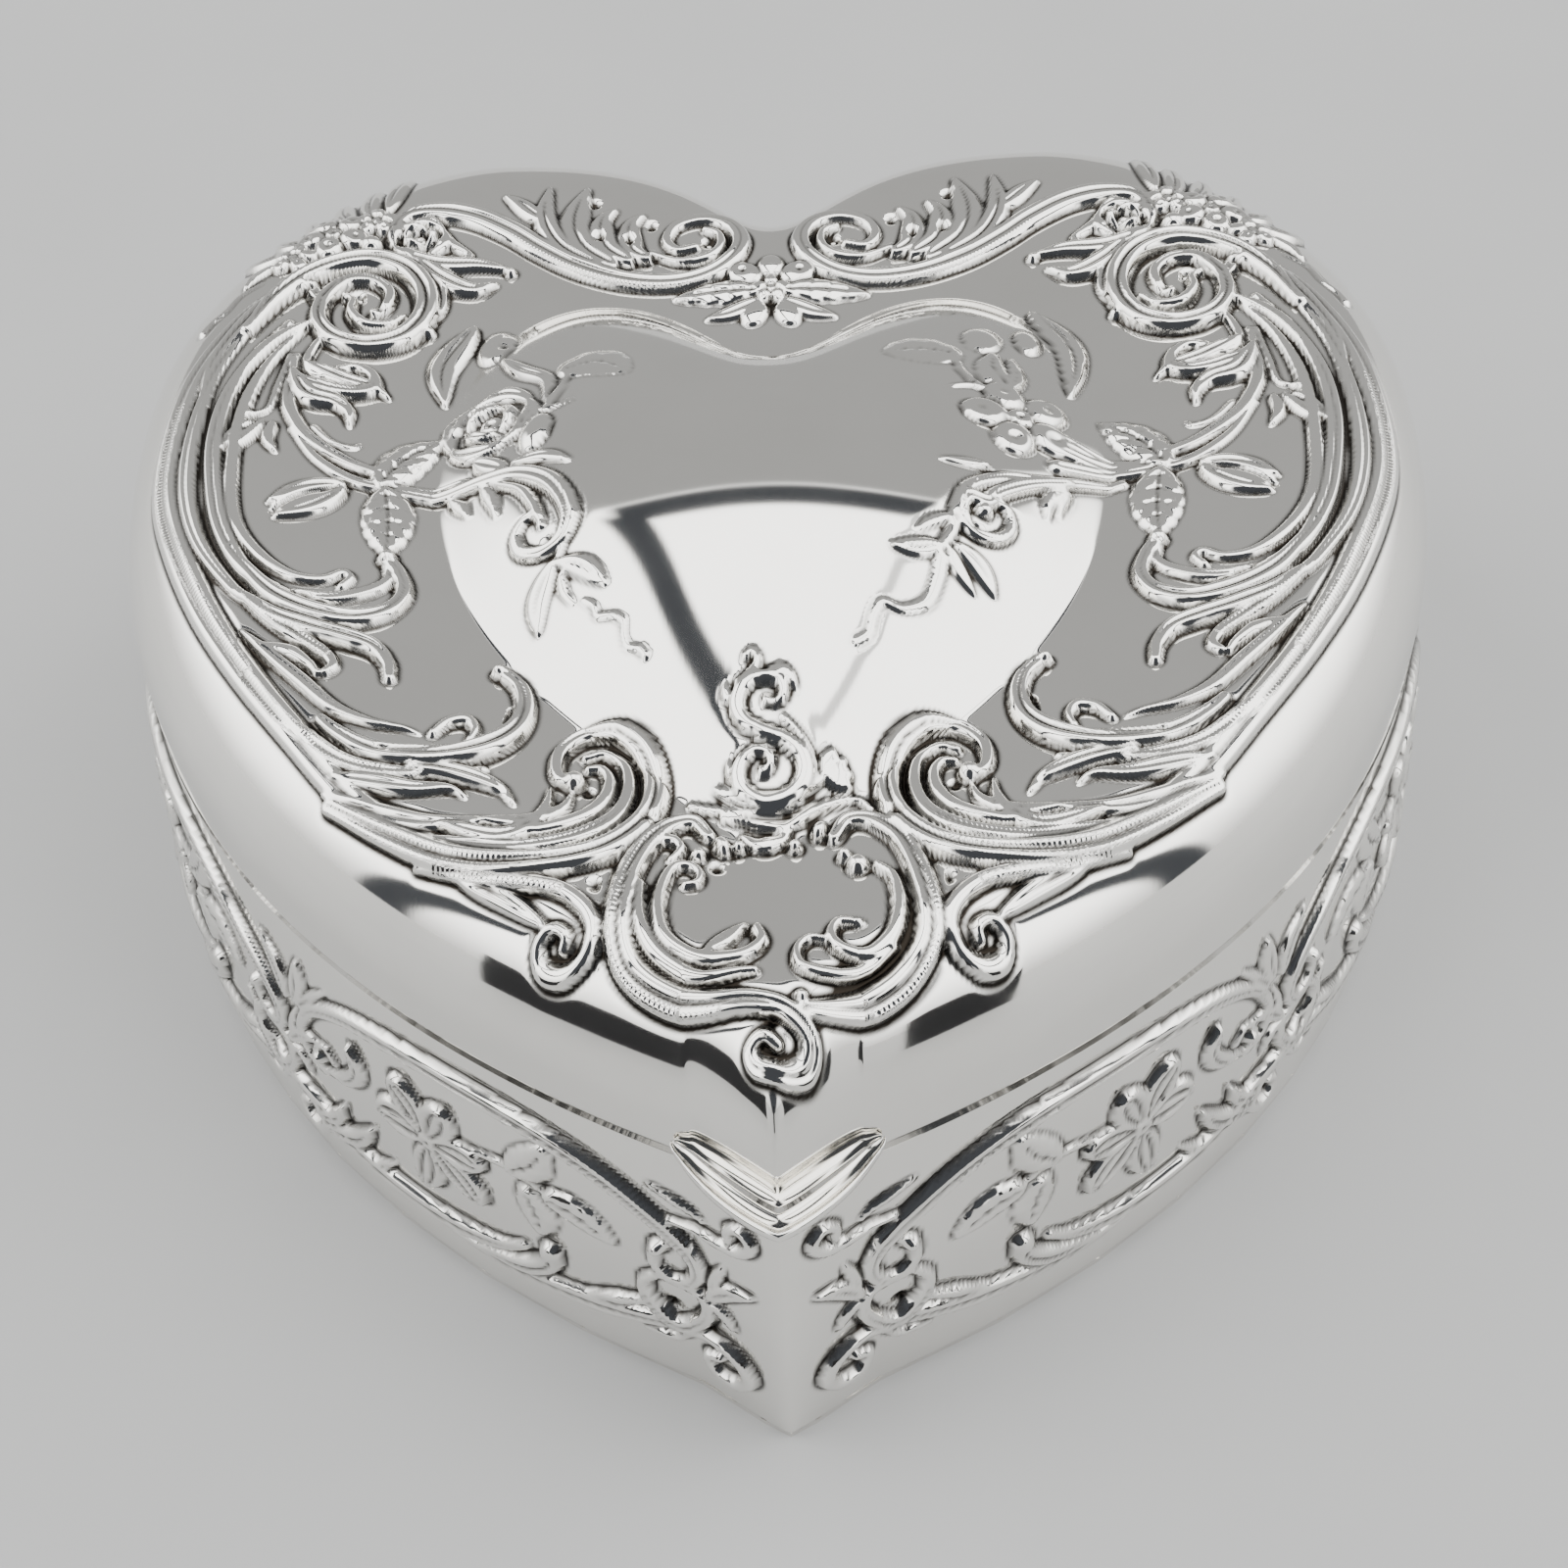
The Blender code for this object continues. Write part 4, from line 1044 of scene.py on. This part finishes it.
def mixed(tree, share, first, second):
    """A colour between two, by a share."""
    mix = tree.nodes.new("ShaderNodeMix")
    mix.data_type = "RGBA"
    tree.links.new(share, mix.inputs[0])
    for socket, value in ((mix.inputs[6], first), (mix.inputs[7], second)):
        if isinstance(value, bpy.types.NodeSocket):
            tree.links.new(value, socket)
        else:
            socket.default_value = value
    return mix.outputs[2]


def maths(tree, operation, first, second):
    made = tree.nodes.new("ShaderNodeMath")
    made.operation = operation
    for socket, value in zip(made.inputs, (first, second)):
        if isinstance(value, bpy.types.NodeSocket):
            tree.links.new(value, socket)
        else:
            socket.default_value = value
    return made.outputs[0]


def attribute(tree, name):
    made = tree.nodes.new("ShaderNodeAttribute")
    made.attribute_name = name
    return made.outputs["Fac"]


def noise(tree, place, scale, detail, **extra):
    """A cloudy value from 0 to 1 at a place."""
    made = node(tree, "ShaderNodeTexNoise", Vector=place, Scale=scale, Detail=detail, **extra)
    return made.outputs["Fac"]


POLISHED = (0.90, 0.887, 0.855, 1.0)
CLOUDED = (0.80, 0.785, 0.75, 1.0)
# near-black colour of the crevices: tarnish in the hollows together with painted shade
CREVICE_TARNISH_AND_SHADE = (0.018, 0.015, 0.012, 1.0)
VELVET_LIGHT = (0.62, 0.50, 0.34, 1.0)
VELVET_DARK = (0.34, 0.25, 0.15, 1.0)
PAPER_LIGHT = (0.41, 0.412, 0.412, 1.0)
PAPER_DARK = (0.36, 0.362, 0.364, 1.0)
CARD_LIGHT = (0.014, 0.014, 0.016, 1.0)
CARD_DARK = (0.008, 0.008, 0.01, 1.0)
HAIR_TURN = (0.3, 0.2, 0.7)            # direction and fineness of the hairline scratches
HAIR_SCALE = (2500.0, 160.0, 900.0)


def silver(name, roughness=0.055, chased=False, polished=POLISHED):
    """Polished silver with clouding, hairline scratches, and crevices darkened near black by tarnish and
    painted shade.
    """
    material, tree, shader = blank(name)
    place = tree.nodes.new("ShaderNodeTexCoord").outputs["Object"]
    cloud = noise(tree, place, 60.0, 5.0, Roughness=0.6)
    colour = mixed(tree, cloud, polished, CLOUDED)
    stretched = node(tree, "ShaderNodeMapping", Vector=place, Rotation=HAIR_TURN, Scale=HAIR_SCALE)
    hairs = noise(tree, stretched.outputs[0], 1.0, 2.0)
    rough = maths(tree, "MULTIPLY_ADD", cloud, 0.06)
    rough.node.inputs[2].default_value = roughness - 0.02
    height = maths(tree, "MULTIPLY", hairs, 0.02)
    if chased:
        crevice = attribute(tree, "crevice")
        # tarnish with painted shade: the crevice mask darkens the hollows towards near black
        colour = mixed(tree, crevice, colour, CREVICE_TARNISH_AND_SHADE)
        more = maths(tree, "MULTIPLY", crevice, 0.3)
        rough = maths(tree, "ADD", rough, more)
        phase = maths(tree, "MULTIPLY", attribute(tree, "along"), 2 * math.pi / CHASE_PITCH)
        strokes = maths(tree, "SINE", phase, 0.0)
        marks = maths(tree, "MULTIPLY", strokes, attribute(tree, "chased"))
        height = maths(tree, "ADD", height, maths(tree, "MULTIPLY", marks, 0.3))
    bump = node(tree, "ShaderNodeBump", Height=height, Strength=0.35, Distance=0.0001)
    tree.links.new(colour, shader.inputs["Base Color"])
    tree.links.new(rough, shader.inputs["Roughness"])
    tree.links.new(bump.outputs[0], shader.inputs["Normal"])
    shader.inputs["Metallic"].default_value = 1.0
    return material


def velvet(name, colour, dark):
    """Short-piled lining velvet."""
    material, tree, shader = blank(name)
    place = tree.nodes.new("ShaderNodeTexCoord").outputs["Object"]
    pile = noise(tree, place, 3500.0, 3.0)
    nap = noise(tree, place, 45.0, 3.0)
    shade = mixed(tree, maths(tree, "MULTIPLY", nap, pile), dark, colour)
    tree.links.new(shade, shader.inputs["Base Color"])
    bump = node(tree, "ShaderNodeBump", Height=pile, Strength=0.5, Distance=0.0002)
    tree.links.new(bump.outputs[0], shader.inputs["Normal"])
    shader.inputs["Roughness"].default_value = 0.9
    shader.inputs["Sheen Weight"].default_value = 0.6
    return material


def floor_paper():
    material, tree, shader = blank("pale_paper")
    place = tree.nodes.new("ShaderNodeTexCoord").outputs["Object"]
    mottle = noise(tree, place, 14.0, 6.0)
    tree.links.new(mixed(tree, mottle, PAPER_DARK, PAPER_LIGHT), shader.inputs["Base Color"])
    shader.inputs["Roughness"].default_value = 0.55
    return material


# ---------------------------------------------------------------- studio

TENT_EDGE = 0.57             # how far back, as the Y of a direction, the white cloth reaches overhead
TENT_WHITE = (4.2, 4.2, 4.15, 1.0)
TENT_FOOT = (1.15, 1.15, 1.14, 1.0)
TENT_GREY = (0.50, 0.50, 0.495, 1.0)
TENT_SEAM = (0.07, 0.075, 0.085, 1.0)
OPENING_DIRECTION = (0.0, -0.85, 0.5)      # the dark opening that the box is looked at through
OPENING_REACH = 0.74
FLAG_RADIUS = 0.26
FLAG_HEIGHTS = (0.001, 0.075)
FLAG_POINTS = 12
FLAG_SPANS = ((-142, -122), (-97, -83), (-56, -46))     # degrees round the box, -90 in front

CAMERA_TARGET = Vector((-0.00043, 0.01265, 0.0))
CAMERA_DISTANCE = 0.3277
CAMERA_AZIMUTH = 0.031
CAMERA_ELEVATION = 0.836
CAMERA_ROLL = -0.047
CAMERA_LENS = 54.0           # millimetres, on a sensor as wide as the next line says
CAMERA_SENSOR = 36.0


def studio_camera():
    back = Vector((math.cos(CAMERA_ELEVATION) * math.sin(CAMERA_AZIMUTH),
                   -math.cos(CAMERA_ELEVATION) * math.cos(CAMERA_AZIMUTH), math.sin(CAMERA_ELEVATION)))
    right = (-back).cross(Vector((0, 0, 1))).normalized()
    up = right.cross(-back)
    cos, sin = math.cos(CAMERA_ROLL), math.sin(CAMERA_ROLL)
    turned_right = right * cos + up * sin
    turned_up = up * cos - right * sin
    camera = bpy.data.objects.new("camera", bpy.data.cameras.new("camera"))
    bpy.context.scene.collection.objects.link(camera)
    camera.data.lens = CAMERA_LENS
    camera.data.sensor_width = CAMERA_SENSOR
    camera.data.clip_start = 0.01
    placed_at = Matrix((turned_right, turned_up, back)).transposed().to_4x4()
    placed_at.translation = CAMERA_TARGET + back * CAMERA_DISTANCE
    camera.matrix_world = placed_at
    bpy.context.scene.camera = camera


def soft_step(tree, value, low, high):
    """0 below low, 1 above high, and a smooth rise between them."""
    made = node(tree, "ShaderNodeMapRange", Value=value, From_Min=low, From_Max=high)
    made.interpolation_type = "SMOOTHSTEP"
    return made.outputs[0]


def inverse(tree, value):
    return maths(tree, "SUBTRACT", 1.0, value)


def stripe(tree, value, centre, half_width):
    """1 within half a width of a centre, with soft sides."""
    off = maths(tree, "ABSOLUTE", maths(tree, "SUBTRACT", value, centre), 0.0)
    return inverse(tree, soft_step(tree, off, half_width * 0.7, half_width * 1.2))


def tent_seams(tree, x, y, off_centre, over_edge):
    """Where the dark seams run: one overhead, one slanting down each side of the front, two low ones."""
    overhead = maths(tree, "MULTIPLY", stripe(tree, over_edge, -0.05, 0.05),
                     inverse(tree, soft_step(tree, off_centre, 0.5, 0.56)))
    lower = maths(tree, "SUBTRACT", TENT_EDGE - 0.04, y)
    in_front = soft_step(tree, lower, -0.02, 0.02)
    left_place = maths(tree, "SUBTRACT", x, maths(tree, "MULTIPLY", lower, 0.28))
    left = stripe(tree, left_place, -0.50, 0.065)
    right_place = maths(tree, "ADD", x, maths(tree, "MULTIPLY", lower, 0.25))
    right = maths(tree, "MULTIPLY", stripe(tree, right_place, 0.52, 0.02), 0.7)
    slanting = maths(tree, "MULTIPLY", maths(tree, "MAXIMUM", left, right), in_front)
    low = maths(tree, "MULTIPLY", stripe(tree, y, -0.30, 0.06), soft_step(tree, off_centre, 0.35, 0.45))
    return maths(tree, "MAXIMUM", maths(tree, "MAXIMUM", slanting, overhead), low)


def tent_world():
    """A white light tent round the box: a greyer cloth behind it, dark seams and an opening."""
    world = bpy.data.worlds.new("light_tent")
    world.use_nodes = True
    tree = world.node_tree
    direction = tree.nodes.new("ShaderNodeTexCoord").outputs["Generated"]
    parts = node(tree, "ShaderNodeSeparateXYZ", Vector=direction)
    x, y, z = parts.outputs
    off_centre = maths(tree, "ABSOLUTE", x, 0.0)
    over_edge = maths(tree, "SUBTRACT", y, TENT_EDGE)
    narrow = inverse(tree, soft_step(tree, off_centre, 0.6, 0.72))
    behind = maths(tree, "MULTIPLY", soft_step(tree, over_edge, -0.01, 0.01), narrow)
    seams = tent_seams(tree, x, y, off_centre, over_edge)
    cloth = mixed(tree, soft_step(tree, z, -0.1, 0.5), TENT_FOOT, TENT_WHITE)
    cloth = mixed(tree, behind, cloth, TENT_GREY)
    cloth = mixed(tree, seams, cloth, TENT_SEAM)
    towards = node(tree, "ShaderNodeVectorMath", Vector=direction)
    towards.operation = "DISTANCE"
    towards.inputs[1].default_value = OPENING_DIRECTION
    opening = inverse(tree, soft_step(tree, towards.outputs["Value"], OPENING_REACH * 0.8, OPENING_REACH))
    cloth = mixed(tree, opening, cloth, TENT_SEAM)
    tree.links.new(cloth, tree.nodes["Background"].inputs[0])
    bpy.context.scene.world = world


def front_flags():
    """Low black cards bent round the front, which the shoulder reflects; the camera doesn't see them."""
    verts, faces = [], []
    for first, last in FLAG_SPANS:
        start = len(verts)
        angles = np.radians(np.linspace(first, last, FLAG_POINTS))
        verts += [(FLAG_RADIUS * math.cos(a), FLAG_RADIUS * math.sin(a), z)
                  for z in FLAG_HEIGHTS for a in angles]
        faces += [(i, i + 1, FLAG_POINTS + i + 1, FLAG_POINTS + i)
                  for i in range(start, start + FLAG_POINTS - 1)]
    mesh = bpy.data.meshes.new("front_flags")
    mesh.from_pydata(verts, [], faces)
    card = bpy.data.objects.new("front_flags", mesh)
    bpy.context.scene.collection.objects.link(card)
    material, tree, shader = blank("black_card")
    place = tree.nodes.new("ShaderNodeTexCoord").outputs["Object"]
    grain = noise(tree, place, 200.0, 2.0)
    tree.links.new(mixed(tree, grain, CARD_DARK, CARD_LIGHT), shader.inputs["Base Color"])
    shader.inputs["Roughness"].default_value = 0.9
    mesh.materials.append(material)
    card.visible_camera = False
    card.visible_shadow = False


def studio():
    tent_world()
    front_flags()
    bpy.ops.mesh.primitive_plane_add(size=4, location=(0, 0, 0))
    floor = bpy.context.object
    floor.name = "floor"
    floor.data.materials.append(floor_paper())


# ---------------------------------------------------------------- assembly

def dressed(obj, material, body, slot, *nodes):
    obj.data.materials.append(material)
    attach(obj, body)
    if nodes:
        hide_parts(*nodes)
    return obj


def main():
    studio_camera()
    studio()
    dressed(lid_piece(), silver("polished_lid", chased=True), "lid", "lid_silver", "lid_shell")
    dressed(wall_piece(), silver("polished_wall", chased=True), "body", "wall_silver", "body_wall")
    dressed(thumb_lift_piece(), silver("polished_lift", 0.07), "lid", "lift_silver", "thumb_lift")
    lining = velvet("lining_velvet", VELVET_LIGHT, VELVET_DARK)
    for piece, body, replaced, fill in ((floor_cushion(), "body", "floor_pad", 0.6),
                                        (wall_padding(), "body", "wall_lining", 0.4),
                                        (lid_padding(), "lid", "lid_lining", 0.4)):
        dressed(piece, lining, body, "lining_fabric", replaced)
    worn = silver("worn_silver", 0.16, polished=CLOUDED)
    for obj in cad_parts.values():
        if not obj.hide_render:
            obj.data.materials.clear()
            obj.data.materials.append(worn)


main()
